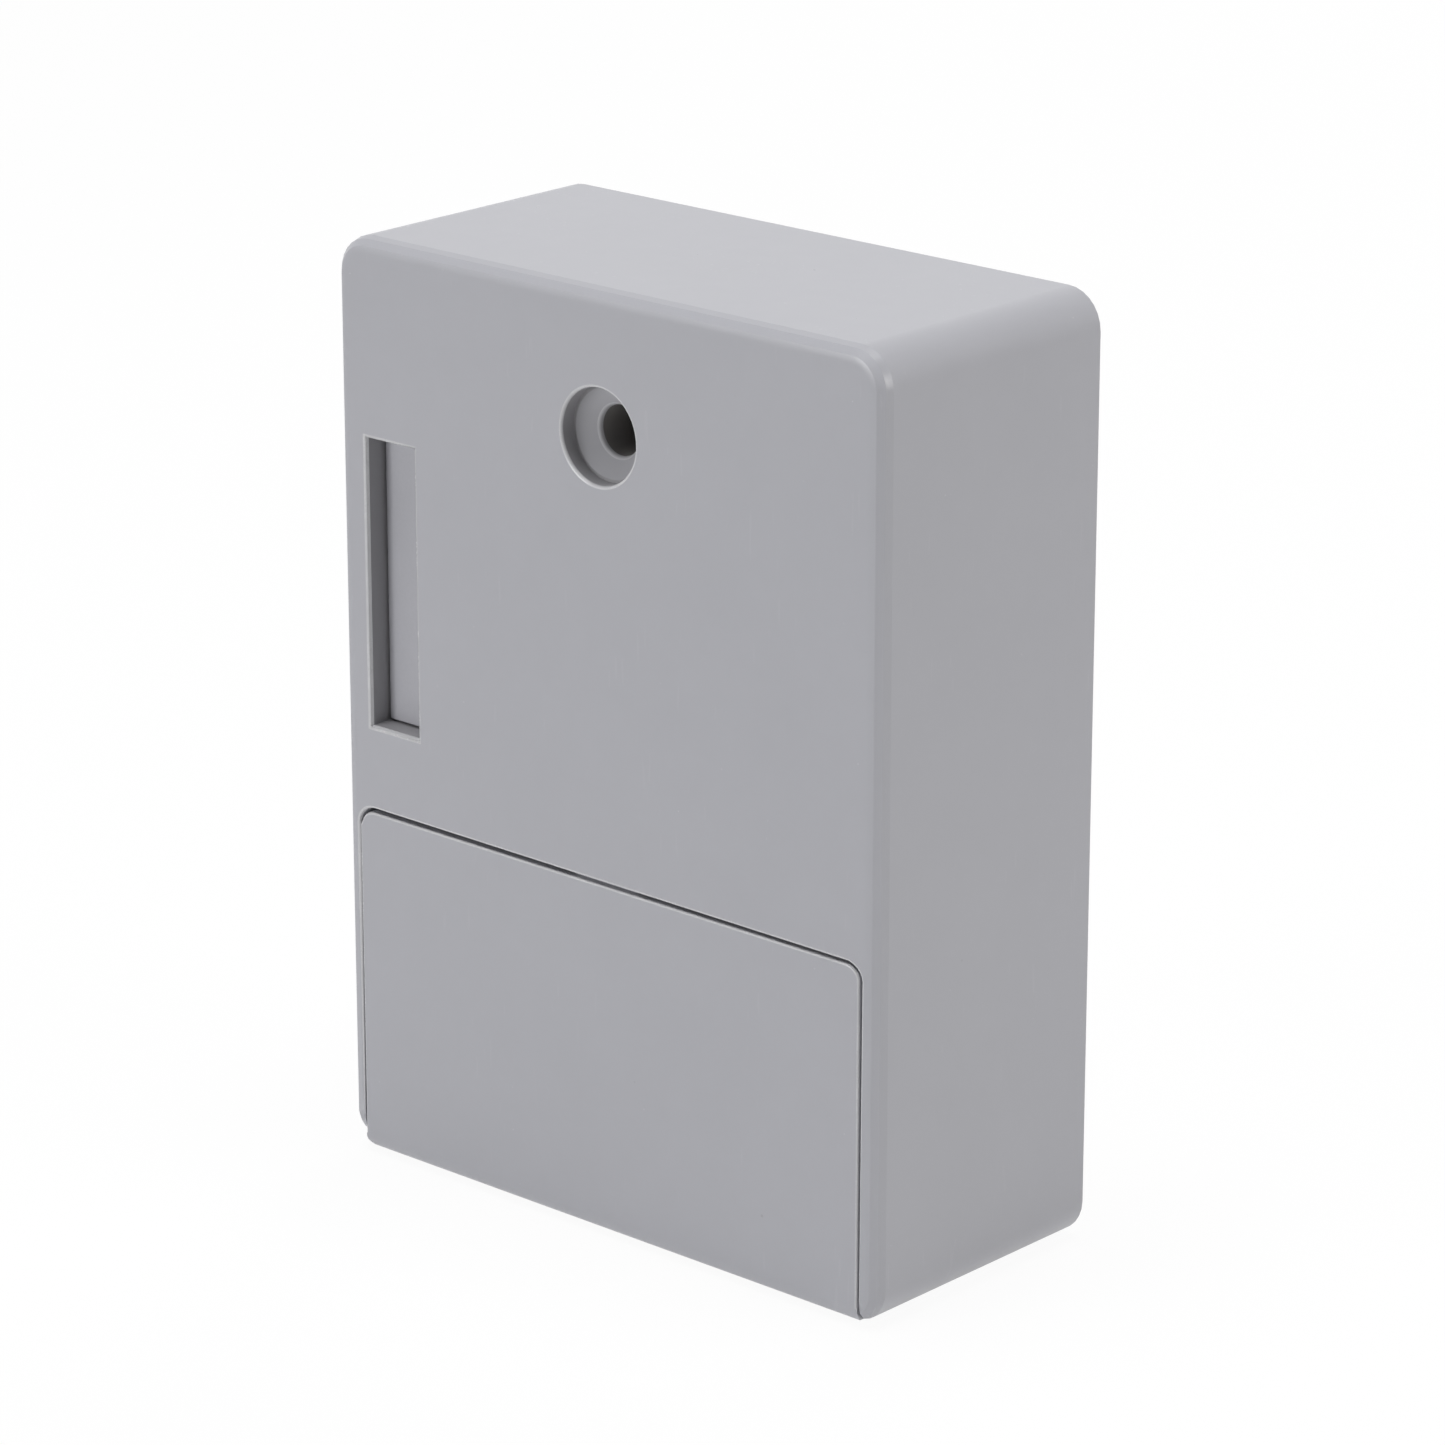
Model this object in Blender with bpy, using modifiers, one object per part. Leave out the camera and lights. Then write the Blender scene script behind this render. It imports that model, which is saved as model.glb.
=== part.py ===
"""Hidden electronic cabinet lock.

A moulded housing holds a hook slot with a sprung ejector, a bolt driven by a motor through
two gear stages, the electronics, and a battery bay under a door hinged at the base.
Metres, +Z up, the front face towards -Y, the origin at the middle of the base.
"""

import math

import bmesh
import bpy
from mathutils import Matrix, Vector

# Gaps and overlaps used everywhere
SEAT_GAP = 0.0003
BOND_GAP = 0.0001
OVERRUN = 0.001
EMBED = 0.0005
CUT_OVERLAP = 0.0001
MERGE = 0.000001

# Facets round a circle
FINE_STEPS = 36
ROUND_STEPS = 20
SMALL_STEPS = 10

# Housing walls and edges
SIDE_WALL = 0.0024
BASE_WALL = 0.0024
TOP_WALL = 0.0024
FRONT_WALL = 0.0024
OUTLINE_RADIUS = 0.0048
FRONT_EDGE_RADIUS = 0.002
BACK_EDGE_RADIUS = 0.0004
OUTLINE_STEPS = 7
EDGE_STEPS = 3

# Battery cells and their bay
CELL_COUNT = 4
CELL_RADIUS = 0.00525
CELL_BODY_LENGTH = 0.0435
CELL_NUB_RADIUS = 0.0019
CELL_NUB_LENGTH = 0.001
CELL_EDGE_RADIUS = 0.0006
CELL_GAP = 0.0004
CELL_RISE = 0.0004
CONTACT_THICKNESS = 0.0005
CONTACT_BUMP_RADIUS = 0.002
CONTACT_BUMP_HEIGHT = 0.0008
CONTACT_MARGIN = 0.0044
CONTACT_DEPTH = 0.009
CELL_SPRING_LENGTH = 0.0037
CELL_SPRING_BASE_RADIUS = 0.003
CELL_SPRING_TIP_RADIUS = 0.0018
CELL_SPRING_WIRE_RADIUS = 0.0003
CELL_SPRING_TURNS = 3
END_WALL = 0.0014
END_WALL_DEPTH = 0.0083
SCREW_POCKET = 0.0138
BAY_FLOOR = 0.0018
BAY_ROOF = 0.0018
BAY_HEADROOM = 0.0016
OPENING_LIP = 0.00135
CRADLE_OFFSET = 0.014
CRADLE_WIDTH = 0.0012
CRADLE_DEPTH = 0.0042

# Battery door
DOOR_THICKNESS = 0.002
DOOR_SIDE_GAP = 0.00035
DOOR_TOP_GAP = 0.0005
DOOR_TOP_RADIUS = 0.0035
DOOR_LOWER_RADIUS = 0.0012
DOOR_FLOOR_GAP = 0.0002
HINGE_RADIUS = 0.0023
HINGE_GAP = 0.00035
HINGE_PIN_RADIUS = 0.00075
HINGE_PIN_LENGTH = 0.0008
HINGE_PIN_CLEARANCE = 0.0001
SNAP_WIDTH = 0.010
SNAP_RADIUS = 0.0005
SNAP_BITE = 0.0001
SNAP_SETBACK = 0.0015
DOOR_RIB_WIDTH = 0.0012
DOOR_RIB_DEPTH = 0.0022
DOOR_RIB_INSET = 0.0040
DOOR_RIB_END = 0.0060

# Hook slot and its channel
SLOT_WIDTH = 0.008
SLOT_HEIGHT = 0.0365
SLOT_SIDE_MARGIN = 0.00485
SLOT_DEPTH = 0.003
CHANNEL_WALL = 0.0016

# Ejector behind the slot
EJECTOR_TRAVEL = 0.011
EJECTOR_SKIN = 0.002
EJECTOR_PLATE = 0.003
EJECTOR_CUP_DEPTH = 0.010
EJECTOR_CUP_HEIGHT = 0.0125
EJECTOR_CORNER_RADIUS = 0.001
EJECTOR_END_GAP = 0.0005
EJECTOR_BORE_RADIUS = 0.0027
EJECTOR_SPRING_RADIUS = 0.002
EJECTOR_SPRING_WIRE_RADIUS = 0.000275
EJECTOR_SPRING_TURNS = 8
CAP_THICKNESS = 0.0018
CAP_STUB_RADIUS = 0.0013
CAP_STUB_LENGTH = 0.004

# Bolt and its rack
BOLT_TRAVEL = 0.007
BOLT_DEPTH = 0.005
BOLT_HEIGHT = 0.008
BOLT_FRONT = 0.008
BOLT_HEAD_LENGTH = 0.0142
BOLT_NOSE_CHAMFER = 0.001
BOLT_CLEARANCE = 0.0003
BOLT_TAIL_LENGTH = 0.004
RACK_RUN_IN = 0.006
RACK_RUN_OUT = 0.003
GUIDE_WALL = 0.0014

# Gears
PRESSURE_ANGLE = math.radians(20)
RACK_MODULE = 0.0008
MOTOR_MODULE = 0.0005
RACK_PINION_TEETH = 10
REDUCTION_TEETH = 36
MOTOR_PINION_TEETH = 9
DRIVER_ADDENDUM_SHARE = 1.0
DRIVEN_ADDENDUM_SHARE = 0.55
ROOT_CLEARANCE_SHARE = 0.25
FLANK_STEPS = 2
BACKLASH = 0.00012
CENTRE_GAP = 0.0001
MESH_ANGLE = math.radians(20)
REDUCTION_FACE = 0.0027
REDUCTION_BOLT_GAP = 0.0004
AXLE_RADIUS = 0.001
AXLE_CLEARANCE = 0.00008
AXLE_BOSS_RADIUS = 0.0026

# Motor
MOTOR_RADIUS = 0.006
MOTOR_LENGTH = 0.0133
MOTOR_NOSE_RADIUS = 0.0022
MOTOR_NOSE_LENGTH = 0.001
MOTOR_SHAFT_RADIUS = 0.00075
MOTOR_SHAFT_CLEARANCE = 0.0001
MOTOR_SHAFT_DEPTH = 0.006
MOTOR_CAP_THICKNESS = 0.0015
MOTOR_CAP_INSET = 0.0004
MOTOR_TAB_WIDTH = 0.0018
MOTOR_TAB_LENGTH = 0.0016
MOTOR_TAB_THICKNESS = 0.0005
SLEEVE_WALL = 0.0011
SLEEVE_LENGTH = 0.0056

# Cover over the bolt and gears
MECHANISM_PLATE = 0.0016
MECHANISM_MARGIN = 0.0014

# Screw holes that fasten the lock to the cabinet
MOUNT_HOLE_RADIUS = 0.00308
MOUNT_TUBE_WALL = 0.00182
COUNTERBORE_RADIUS = 0.00587
COUNTERBORE_DEPTH = 0.0021
SEAT_RADIUS = 0.0055
SEAT_CONE_DEPTH = 0.0017
COUNTERBORE_WALL = 0.0015
COUNTERBORE_BACKING = 0.0024
POCKET_SEAT_RADIUS = 0.0051
POCKET_SEAT_DEPTH = 0.0014
LOWER_HOLE_HEIGHT = 0.010
LOWER_HOLE_INSET = 0.00835
TUBE_GAP = 0.0006
TOP_HOLE_MARGIN = 0.0175

# Small fasteners and the bosses that take them
SCREW_HEAD_RADIUS = 0.0022
SCREW_HEAD_HEIGHT = 0.0014
SCREW_SHANK_RADIUS = 0.00105
SCREW_LENGTH = 0.006
SCREW_TIP_LENGTH = 0.0008
SCREW_CLEARANCE = 0.00015
BOSS_RADIUS = 0.0026
COVER_BOSS_INSET = 0.004
COVER_PAD_RADIUS = 0.0034
COVER_PAD_HEIGHT = 0.0015
COVER_SCREW_RECESS = 0.0003
COVER_LOWER_HEIGHT = 0.022
BOSS_WEB = 0.0012

# Back cover
BACK_PLATE = 0.0022
COVER_GAP = 0.0003

# Boards and what they carry
BOARD_STANDOFF = 0.0074
BOARD_THICKNESS = 0.0016
REAR_SPACE = 0.0127
BOARD_SIDE_ROOM = 0.00745
BOARD_TUBE_GAP = 0.0021
BOARD_ROOF_SETBACK = 0.0006
BOARD_CORNER_RADIUS = 0.001
BOARD_BOSS_RADIUS = 0.0024
BOARD_SCREW_MARGIN = 0.0035
CHIP_SIZE = 0.009
CHIP_THICKNESS = 0.0014
CAPACITOR_RADIUS = 0.00315
CAPACITOR_LENGTH = 0.008
BUZZER_RADIUS = 0.006
BUZZER_HEIGHT = 0.0065
BUZZER_PORT_RADIUS = 0.001
BUZZER_PORT_DEPTH = 0.002
BATTERY_CONNECTOR_GAP = 0.0032
CONNECTOR_WIDTH = 0.0068
CONNECTOR_HEIGHT = 0.0046
CONNECTOR_DEPTH = 0.005
CONNECTOR_WALL = 0.0007
CONNECTOR_FLOOR = 0.0012
ANTENNA_WIDTH = 0.046
ANTENNA_BOARD_GAP = 0.005
ANTENNA_TUBE_GAP = 0.0015
ANTENNA_BOARD_THICKNESS = 0.0012
ANTENNA_MARGIN = 0.0025
ANTENNA_COIL_WIDTH = 0.003
ANTENNA_COIL_THICKNESS = 0.0006
ANTENNA_PAD_STRIP = 0.004

# Setup button in the battery bay
SETUP_INSET = 0.00335
SETUP_DROP = 0.0116
SETUP_TRAVEL = 0.0005
SETUP_BUTTON_RADIUS = 0.0016
SETUP_BUTTON_PROUD = 0.0005
SETUP_COLLAR_RADIUS = 0.0022
SETUP_COLLAR_THICKNESS = 0.0006
SETUP_CLEARANCE = 0.0003
SETUP_SWITCH_SIZE = 0.006
SETUP_SWITCH_DEPTH = 0.0034
SETUP_SWITCH_BORE_DEPTH = 0.0016

# Switch that feels the hook through the ejector
HOOK_SWITCH_LENGTH = 0.006
HOOK_SWITCH_DEPTH = 0.006
HOOK_SWITCH_HEIGHT = 0.004
HOOK_SWITCH_SETBACK = 0.0007
HOOK_SWITCH_RISE = 0.0042
HOOK_SWITCH_CRADLE = 0.0013
HOOK_SWITCH_CLEARANCE = 0.0003
PLUNGER_RADIUS = 0.0007
PLUNGER_CLEARANCE = 0.0002
PLUNGER_TRAVEL = 0.00055
PLUNGER_SETBACK = 0.0009
PLUNGER_BORE_DEPTH = 0.003
PLUNGER_IN_SWITCH = 0.0015
PLUNGER_GROOVE_HEIGHT = 0.0024

# Leads
LEAD_RADIUS = 0.00055
LEAD_END_GAP = 0.0003
LEAD_SAMPLES = 4
LEAD_HOLE_CLEARANCE = 0.0004

# Front to back: the bay, the boards and the back cover set the depth
BAY_FLOOR_FRONT = DOOR_THICKNESS + 2 * CELL_GAP + 2 * CELL_RADIUS
BAY_FLOOR_BACK = BAY_FLOOR_FRONT + BAY_FLOOR
DEPTH = BAY_FLOOR_BACK + BOARD_STANDOFF + BOARD_THICKNESS + REAR_SPACE + BACK_PLATE
FRONT_Y = -DEPTH / 2
BACK_Y = DEPTH / 2
WALL_BACK_Y = FRONT_Y + FRONT_WALL
BAY_FLOOR_FRONT_Y = FRONT_Y + BAY_FLOOR_FRONT
BAY_FLOOR_BACK_Y = FRONT_Y + BAY_FLOOR_BACK
BOARD_FRONT_Y = BAY_FLOOR_BACK_Y + BOARD_STANDOFF
BOARD_BACK_Y = BOARD_FRONT_Y + BOARD_THICKNESS
COVER_FRONT_Y = BACK_Y - BACK_PLATE
CELL_Y = FRONT_Y + DOOR_THICKNESS + CELL_GAP + CELL_RADIUS

# Side to side: the cells, their contacts and the screw pockets set the width
CELL_ROOM = (
    CELL_BODY_LENGTH + CELL_NUB_LENGTH + CONTACT_BUMP_HEIGHT + CELL_SPRING_LENGTH + 3 * SEAT_GAP
)
CONTACT_X = CELL_ROOM / 2
END_WALL_X = CONTACT_X + CONTACT_THICKNESS + SEAT_GAP
POCKET_X = END_WALL_X + END_WALL
INNER_X = POCKET_X + SCREW_POCKET
WIDTH = 2 * (INNER_X + SIDE_WALL)
SIDE_X = WIDTH / 2
SLOT_LEFT_X = -SIDE_X + SLOT_SIDE_MARGIN
SLOT_RIGHT_X = SLOT_LEFT_X + SLOT_WIDTH
SLOT_X = (SLOT_LEFT_X + SLOT_RIGHT_X) / 2
CHANNEL_X = SLOT_RIGHT_X + CHANNEL_WALL
NOSE_X = SLOT_RIGHT_X + BOLT_CLEARANCE
RACK_X = NOSE_X + BOLT_HEAD_LENGTH
GEAR_X = RACK_X + RACK_RUN_IN
RACK_END_X = GEAR_X + BOLT_TRAVEL + RACK_RUN_OUT
BOLT_END_X = RACK_END_X + BOLT_TAIL_LENGTH
LOWER_HOLE_X = SIDE_X - LOWER_HOLE_INSET
SETUP_X = POCKET_X + SETUP_INSET
BOARD_HALF_WIDTH = INNER_X - BOARD_SIDE_ROOM

# Upwards: the cells, the slot, the gears and the top screw hole set the height
CELL_PITCH = 2 * CELL_RADIUS + CELL_GAP
BAY_TOP_Z = BASE_WALL + CELL_COUNT * CELL_PITCH + BAY_HEADROOM
BAY_ROOF_Z = BAY_TOP_Z + BAY_ROOF
OPENING_TOP_Z = BAY_TOP_Z - OPENING_LIP
DOOR_TOP_Z = OPENING_TOP_Z - DOOR_TOP_GAP
HINGE_Z = DOOR_FLOOR_GAP + HINGE_RADIUS
HINGE_Y = FRONT_Y + HINGE_RADIUS
SNAP_Y = FRONT_Y + SNAP_SETBACK
SNAP_Z = OPENING_TOP_Z + SNAP_BITE - SNAP_RADIUS
SLOT_BOTTOM_Z = BAY_ROOF_Z + 2 * BOSS_RADIUS + CHANNEL_WALL + BOLT_CLEARANCE + 2 * BOND_GAP
SLOT_TOP_Z = SLOT_BOTTOM_Z + SLOT_HEIGHT
SLOT_Z = (SLOT_BOTTOM_Z + SLOT_TOP_Z) / 2
BOLT_BOTTOM_Z = SLOT_Z - BOLT_HEIGHT / 2
BOLT_TOP_Z = SLOT_Z + BOLT_HEIGHT / 2
RACK_PITCH_Z = BOLT_TOP_Z - RACK_MODULE
RACK_PINION_RADIUS = RACK_MODULE * RACK_PINION_TEETH / 2
REDUCTION_RADIUS = MOTOR_MODULE * REDUCTION_TEETH / 2
MOTOR_PINION_RADIUS = MOTOR_MODULE * MOTOR_PINION_TEETH / 2
GEAR_Z = RACK_PITCH_Z + RACK_PINION_RADIUS + CENTRE_GAP
MOTOR_DISTANCE = REDUCTION_RADIUS + MOTOR_PINION_RADIUS + CENTRE_GAP
MOTOR_X = GEAR_X + MOTOR_DISTANCE * math.cos(MESH_ANGLE)
MOTOR_Z = GEAR_Z + MOTOR_DISTANCE * math.sin(MESH_ANGLE)
SLEEVE_INNER_RADIUS = MOTOR_RADIUS + SEAT_GAP
SLEEVE_RADIUS = SLEEVE_INNER_RADIUS + SLEEVE_WALL
PLATE_TOP_Z = MOTOR_Z + SLEEVE_RADIUS + MECHANISM_MARGIN
TUBE_RADIUS = MOUNT_HOLE_RADIUS + MOUNT_TUBE_WALL
TOP_HOLE_Z = PLATE_TOP_Z + TUBE_GAP + TUBE_RADIUS
HEIGHT = TOP_HOLE_Z + TOP_HOLE_MARGIN
SETUP_Z = BAY_TOP_Z - SETUP_DROP
BOARD_BOTTOM = LOWER_HOLE_HEIGHT + TUBE_RADIUS + BOARD_TUBE_GAP
BOARD_TOP = BAY_TOP_Z - BOARD_ROOF_SETBACK
ANTENNA_BOTTOM = BOARD_TOP + ANTENNA_BOARD_GAP
ANTENNA_TOP = TOP_HOLE_Z - TUBE_RADIUS - ANTENNA_TUBE_GAP
TOP_Z = HEIGHT - TOP_WALL

# Layers of the drive, front to back
BOLT_FRONT_Y = FRONT_Y + BOLT_FRONT
BOLT_BACK_Y = BOLT_FRONT_Y + BOLT_DEPTH
PLATE_FRONT_Y = BOLT_BACK_Y + BOLT_CLEARANCE
PLATE_BACK_Y = PLATE_FRONT_Y + MECHANISM_PLATE
REDUCTION_BACK_Y = BOLT_FRONT_Y - REDUCTION_BOLT_GAP
REDUCTION_FRONT_Y = REDUCTION_BACK_Y - REDUCTION_FACE
AXLE_BOSS_Y = REDUCTION_FRONT_Y - SEAT_GAP
MOTOR_FRONT_Y = PLATE_BACK_Y + SEAT_GAP
MOTOR_BACK_Y = MOTOR_FRONT_Y + MOTOR_LENGTH
MOTOR_CAP_BACK_Y = MOTOR_BACK_Y + SEAT_GAP + MOTOR_CAP_THICKNESS
MOTOR_TAB_Y = MOTOR_CAP_BACK_Y + MOTOR_TAB_LENGTH

# The ejector's layers, front to back
EJECTOR_FRONT_Y = FRONT_Y + SLOT_DEPTH
EJECTOR_PLATE_Y = EJECTOR_FRONT_Y + EJECTOR_PLATE
EJECTOR_BACK_Y = EJECTOR_PLATE_Y + EJECTOR_CUP_DEPTH
CAP_FRONT_Y = EJECTOR_BACK_Y + EJECTOR_TRAVEL + EJECTOR_END_GAP
CAP_BACK_Y = CAP_FRONT_Y + CAP_THICKNESS
EJECTOR_LOW_X = SLOT_LEFT_X + SEAT_GAP
EJECTOR_HIGH_X = SLOT_RIGHT_X - SEAT_GAP
EJECTOR_LOW_Z = SLOT_BOTTOM_Z + SEAT_GAP
EJECTOR_HIGH_Z = SLOT_TOP_Z - SEAT_GAP
EJECTOR_SPRING_ZS = {
    "lower": EJECTOR_LOW_Z + EJECTOR_CUP_HEIGHT / 2,
    "upper": EJECTOR_HIGH_Z - EJECTOR_CUP_HEIGHT / 2,
}
CAP_BOSS_REACH = CHANNEL_WALL + BOSS_RADIUS - EMBED
CAP_BOSS_ZS = (SLOT_BOTTOM_Z - CAP_BOSS_REACH, SLOT_TOP_Z + CAP_BOSS_REACH)

# The hook switch beside the channel
SWITCH_X = CHANNEL_X + HOOK_SWITCH_SETBACK
SWITCH_END_X = SWITCH_X + HOOK_SWITCH_LENGTH
SWITCH_Z = SLOT_BOTTOM_Z + HOOK_SWITCH_RISE
PLUNGER_Y = EJECTOR_BACK_Y - PLUNGER_SETBACK
SWITCH_LOW_Y = PLUNGER_Y - HOOK_SWITCH_DEPTH / 2
SWITCH_HIGH_Y = PLUNGER_Y + HOOK_SWITCH_DEPTH / 2
PLUNGER_TIP_X = EJECTOR_HIGH_X - PLUNGER_TRAVEL + SEAT_GAP

# Screw positions, as x and z
MECHANISM_SCREWS = (
    (CHANNEL_X + 1.9 * BOSS_RADIUS, PLATE_TOP_Z - 1.35 * BOSS_RADIUS),
    (CHANNEL_X + 2.65 * BOSS_RADIUS, BOLT_BOTTOM_Z - GUIDE_WALL - 0.9 * BOSS_RADIUS),
    (BOLT_END_X + 1.75 * BOSS_RADIUS, BOLT_BOTTOM_Z + BOSS_RADIUS),
)
PLATE_LOW_X = CHANNEL_X + MECHANISM_MARGIN
PLATE_HIGH_X = BOLT_END_X + 3.3 * BOSS_RADIUS
PLATE_BOTTOM_Z = BOLT_BOTTOM_Z - GUIDE_WALL - 1.8 * BOSS_RADIUS
BOARD_SCREWS = (
    (BOARD_SCREW_MARGIN - BOARD_HALF_WIDTH, BOARD_TOP - BOARD_SCREW_MARGIN),
    (BOARD_HALF_WIDTH - BOARD_SCREW_MARGIN, BOARD_BOTTOM + BOARD_SCREW_MARGIN),
)
COVER_BOSS_X = INNER_X - COVER_BOSS_INSET
COVER_SCREWS = (
    (-COVER_BOSS_X, COVER_LOWER_HEIGHT),
    (COVER_BOSS_X, COVER_LOWER_HEIGHT),
    (-COVER_BOSS_X, TOP_Z - COVER_BOSS_INSET),
    (COVER_BOSS_X, TOP_Z - COVER_BOSS_INSET),
)
MOUNT_HOLES = ((0, TOP_HOLE_Z), (-LOWER_HOLE_X, LOWER_HOLE_HEIGHT), (LOWER_HOLE_X, LOWER_HOLE_HEIGHT))

# Colours as red, green and blue, with roughness and metallic value
FINISHES = {
    "housing_grey": ((0.39, 0.39, 0.42), 0.5, 0),
    "ejector_grey": ((0.42, 0.42, 0.45), 0.55, 0),
    "steel": ((0.62, 0.62, 0.64), 0.35, 1),
    "zinc": ((0.55, 0.56, 0.58), 0.4, 1),
    "brass": ((0.72, 0.58, 0.3), 0.35, 1),
    "acetal": ((0.86, 0.85, 0.8), 0.4, 0),
    "board_green": ((0.02, 0.16, 0.07), 0.4, 0),
    "black_plastic": ((0.02, 0.02, 0.022), 0.45, 0),
    "connector_white": ((0.8, 0.78, 0.72), 0.5, 0),
    "copper": ((0.7, 0.32, 0.16), 0.3, 1),
    "cell_jacket": ((0.12, 0.16, 0.2), 0.35, 0.4),
    "lead_red": ((0.5, 0.02, 0.02), 0.5, 0),
    "lead_black": ((0.015, 0.015, 0.015), 0.5, 0),
}

for old in list(bpy.data.objects):
    bpy.data.objects.remove(old, do_unlink=True)

lock = bpy.data.collections.new("cabinet_lock")
cutters = bpy.data.collections.new("cutters")
bpy.context.scene.collection.children.link(lock)
bpy.context.scene.collection.children.link(cutters)


def material(finish):
    """The finish's Principled material, made once."""
    if finish in bpy.data.materials:
        return bpy.data.materials[finish]
    colour, roughness, metallic = FINISHES[finish]
    made = bpy.data.materials.new(finish)
    made.use_nodes = True
    shader = made.node_tree.nodes["Principled BSDF"]
    shader.inputs["Base Color"].default_value = (*colour, 1)
    shader.inputs["Roughness"].default_value = roughness
    shader.inputs["Metallic"].default_value = metallic
    return made


def linked(name, data):
    """A new object in the lock's collection."""
    made = bpy.data.objects.new(name, data)
    lock.objects.link(made)
    return made


def from_bmesh(name, bm):
    """A mesh object from a bmesh, which is freed."""
    mesh = bpy.data.meshes.new(name)
    bmesh.ops.recalc_face_normals(bm, faces=bm.faces)
    if bm.calc_volume(signed=True) < 0:
        bmesh.ops.reverse_faces(bm, faces=bm.faces)
    bm.to_mesh(mesh)
    bm.free()
    return linked(name, mesh)


def finished(piece, finish, origin=None, smooth=False):
    """Gives a piece its material and, if it moves, its origin on the joint's axis."""
    mesh = piece.data
    if origin is not None:
        mesh.transform(Matrix.Translation(piece.location - Vector(origin)))
        piece.location = origin
    mesh.materials.clear()
    mesh.materials.append(material(finish))
    if smooth:
        mesh.shade_smooth()
        mesh.set_sharp_from_angle(angle=math.radians(35))
    return piece


def box(name, low, high):
    """A block between two corners."""
    low, high = Vector(low), Vector(high)
    bm = bmesh.new()
    bmesh.ops.create_cube(bm, size=1)
    bmesh.ops.scale(bm, vec=high - low, verts=bm.verts)
    bmesh.ops.translate(bm, vec=(low + high) / 2, verts=bm.verts)
    return from_bmesh(name, bm)


AXIS_TURNS = {
    "X": Matrix.Rotation(math.radians(90), 4, "Y"),
    "Y": Matrix.Rotation(math.radians(-90), 4, "X"),
    "Z": Matrix.Identity(4),
}


def rod(name, axis, start, end, across, radius, steps=ROUND_STEPS, end_radius=None):
    """A cylinder or cone along an axis; across holds the other two coordinates in order."""
    bm = bmesh.new()
    bmesh.ops.create_cone(
        bm,
        cap_ends=True,
        segments=steps,
        radius1=radius,
        radius2=radius if end_radius is None else end_radius,
        depth=end - start,
    )
    middle = list(across)
    middle.insert("XYZ".index(axis), (start + end) / 2)
    bm.transform(Matrix.Translation(middle) @ AXIS_TURNS[axis])
    return from_bmesh(name, bm)


def mesh_of(shape):
    """Replaces a curve or a piece with modifiers by a plain mesh object of the same name."""
    bpy.context.view_layer.update()
    evaluated = shape.evaluated_get(bpy.context.evaluated_depsgraph_get())
    mesh = bpy.data.meshes.new_from_object(evaluated)
    bm = bmesh.new()
    bm.from_mesh(mesh)
    bmesh.ops.remove_doubles(bm, verts=bm.verts, dist=MERGE)
    bm.transform(shape.matrix_world)
    name = shape.name
    bpy.data.objects.remove(shape, do_unlink=True)
    bpy.data.meshes.remove(mesh)
    return from_bmesh(name, bm)


def profile_plate(name, outline, front, back):
    """A flat outline in x and z, as thick as the step from front to back in y."""
    bm = bmesh.new()
    face = bm.faces.new([bm.verts.new((x, front, z)) for x, z in outline])
    grown = bmesh.ops.extrude_face_region(bm, geom=[face])
    moved = [item for item in grown["geom"] if isinstance(item, bmesh.types.BMVert)]
    bmesh.ops.translate(bm, vec=(0, back - front, 0), verts=moved)
    return from_bmesh(name, bm)


def ring_plate(name, outline, hole, front, back):
    """A flat outline in x and z with a hole in it, as thick as the step from front to back."""
    curve = bpy.data.curves.new(name, "CURVE")
    curve.dimensions = "2D"
    curve.fill_mode = "BOTH"
    curve.extrude = (back - front) / 2
    for ring in (outline, hole):
        spline = curve.splines.new("POLY")
        spline.points.add(len(ring) - 1)
        for point, (x, z) in zip(spline.points, ring):
            point.co = (x, z, 0, 1)
        spline.use_cyclic_u = True
    plate = linked(name, curve)
    plate.matrix_world = Matrix.Translation((0, (front + back) / 2, 0)) @ Matrix.Rotation(
        math.radians(90), 4, "X"
    )
    return mesh_of(plate)


def rounded_outline(low_x, low_z, high_x, high_z, lower_radius, upper_radius, steps=6):
    """A rectangle in x and z with one radius for its lower corners and one for its upper."""
    corners = (
        (high_x - upper_radius, high_z - upper_radius, upper_radius, 0),
        (low_x + upper_radius, high_z - upper_radius, upper_radius, 90),
        (low_x + lower_radius, low_z + lower_radius, lower_radius, 180),
        (high_x - lower_radius, low_z + lower_radius, lower_radius, 270),
    )
    outline = []
    for x, z, radius, start in corners:
        for step in range(steps + 1):
            turn = math.radians(start + 90 * step / steps)
            outline.append((x + radius * math.cos(turn), z + radius * math.sin(turn)))
    return outline


def circle_outline(x, z, radius, steps=ROUND_STEPS):
    """A circle in x and z as a closed ring of points."""
    turns = [2 * math.pi * step / steps for step in range(steps)]
    return [(x + radius * math.cos(turn), z + radius * math.sin(turn)) for turn in turns]


def turned(name, profile, place, steps=SMALL_STEPS):
    """A profile of radius and height points, from top to bottom, spun round its own axis."""
    mesh = bpy.data.meshes.new(name)
    points = [(radius, 0, height) for radius, height in profile]
    mesh.from_pydata(points, [(i, i + 1) for i in range(len(points) - 1)], [])
    piece = linked(name, mesh)
    piece.matrix_world = place
    screw = piece.modifiers.new("Screw", "SCREW")
    screw.steps = steps
    screw.render_steps = steps
    screw.use_merge_vertices = True
    screw.merge_threshold = MERGE
    screw.use_smooth_shade = False
    return piece


def combine(target, operation, tools):
    """Joins or cuts a piece with all its tools at once, and hides them as guides."""
    group = bpy.data.collections.new(f"{target.name}_{operation.lower()}")
    cutters.children.link(group)
    for tool in tools:
        lock.objects.unlink(tool)
        group.objects.link(tool)
        tool.hide_render = True
        tool.display_type = "WIRE"
    modifier = target.modifiers.new(operation.capitalize(), "BOOLEAN")
    modifier.operation = operation
    modifier.operand_type = "COLLECTION"
    modifier.collection = group
    modifier.solver = "EXACT"
    return target


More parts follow.
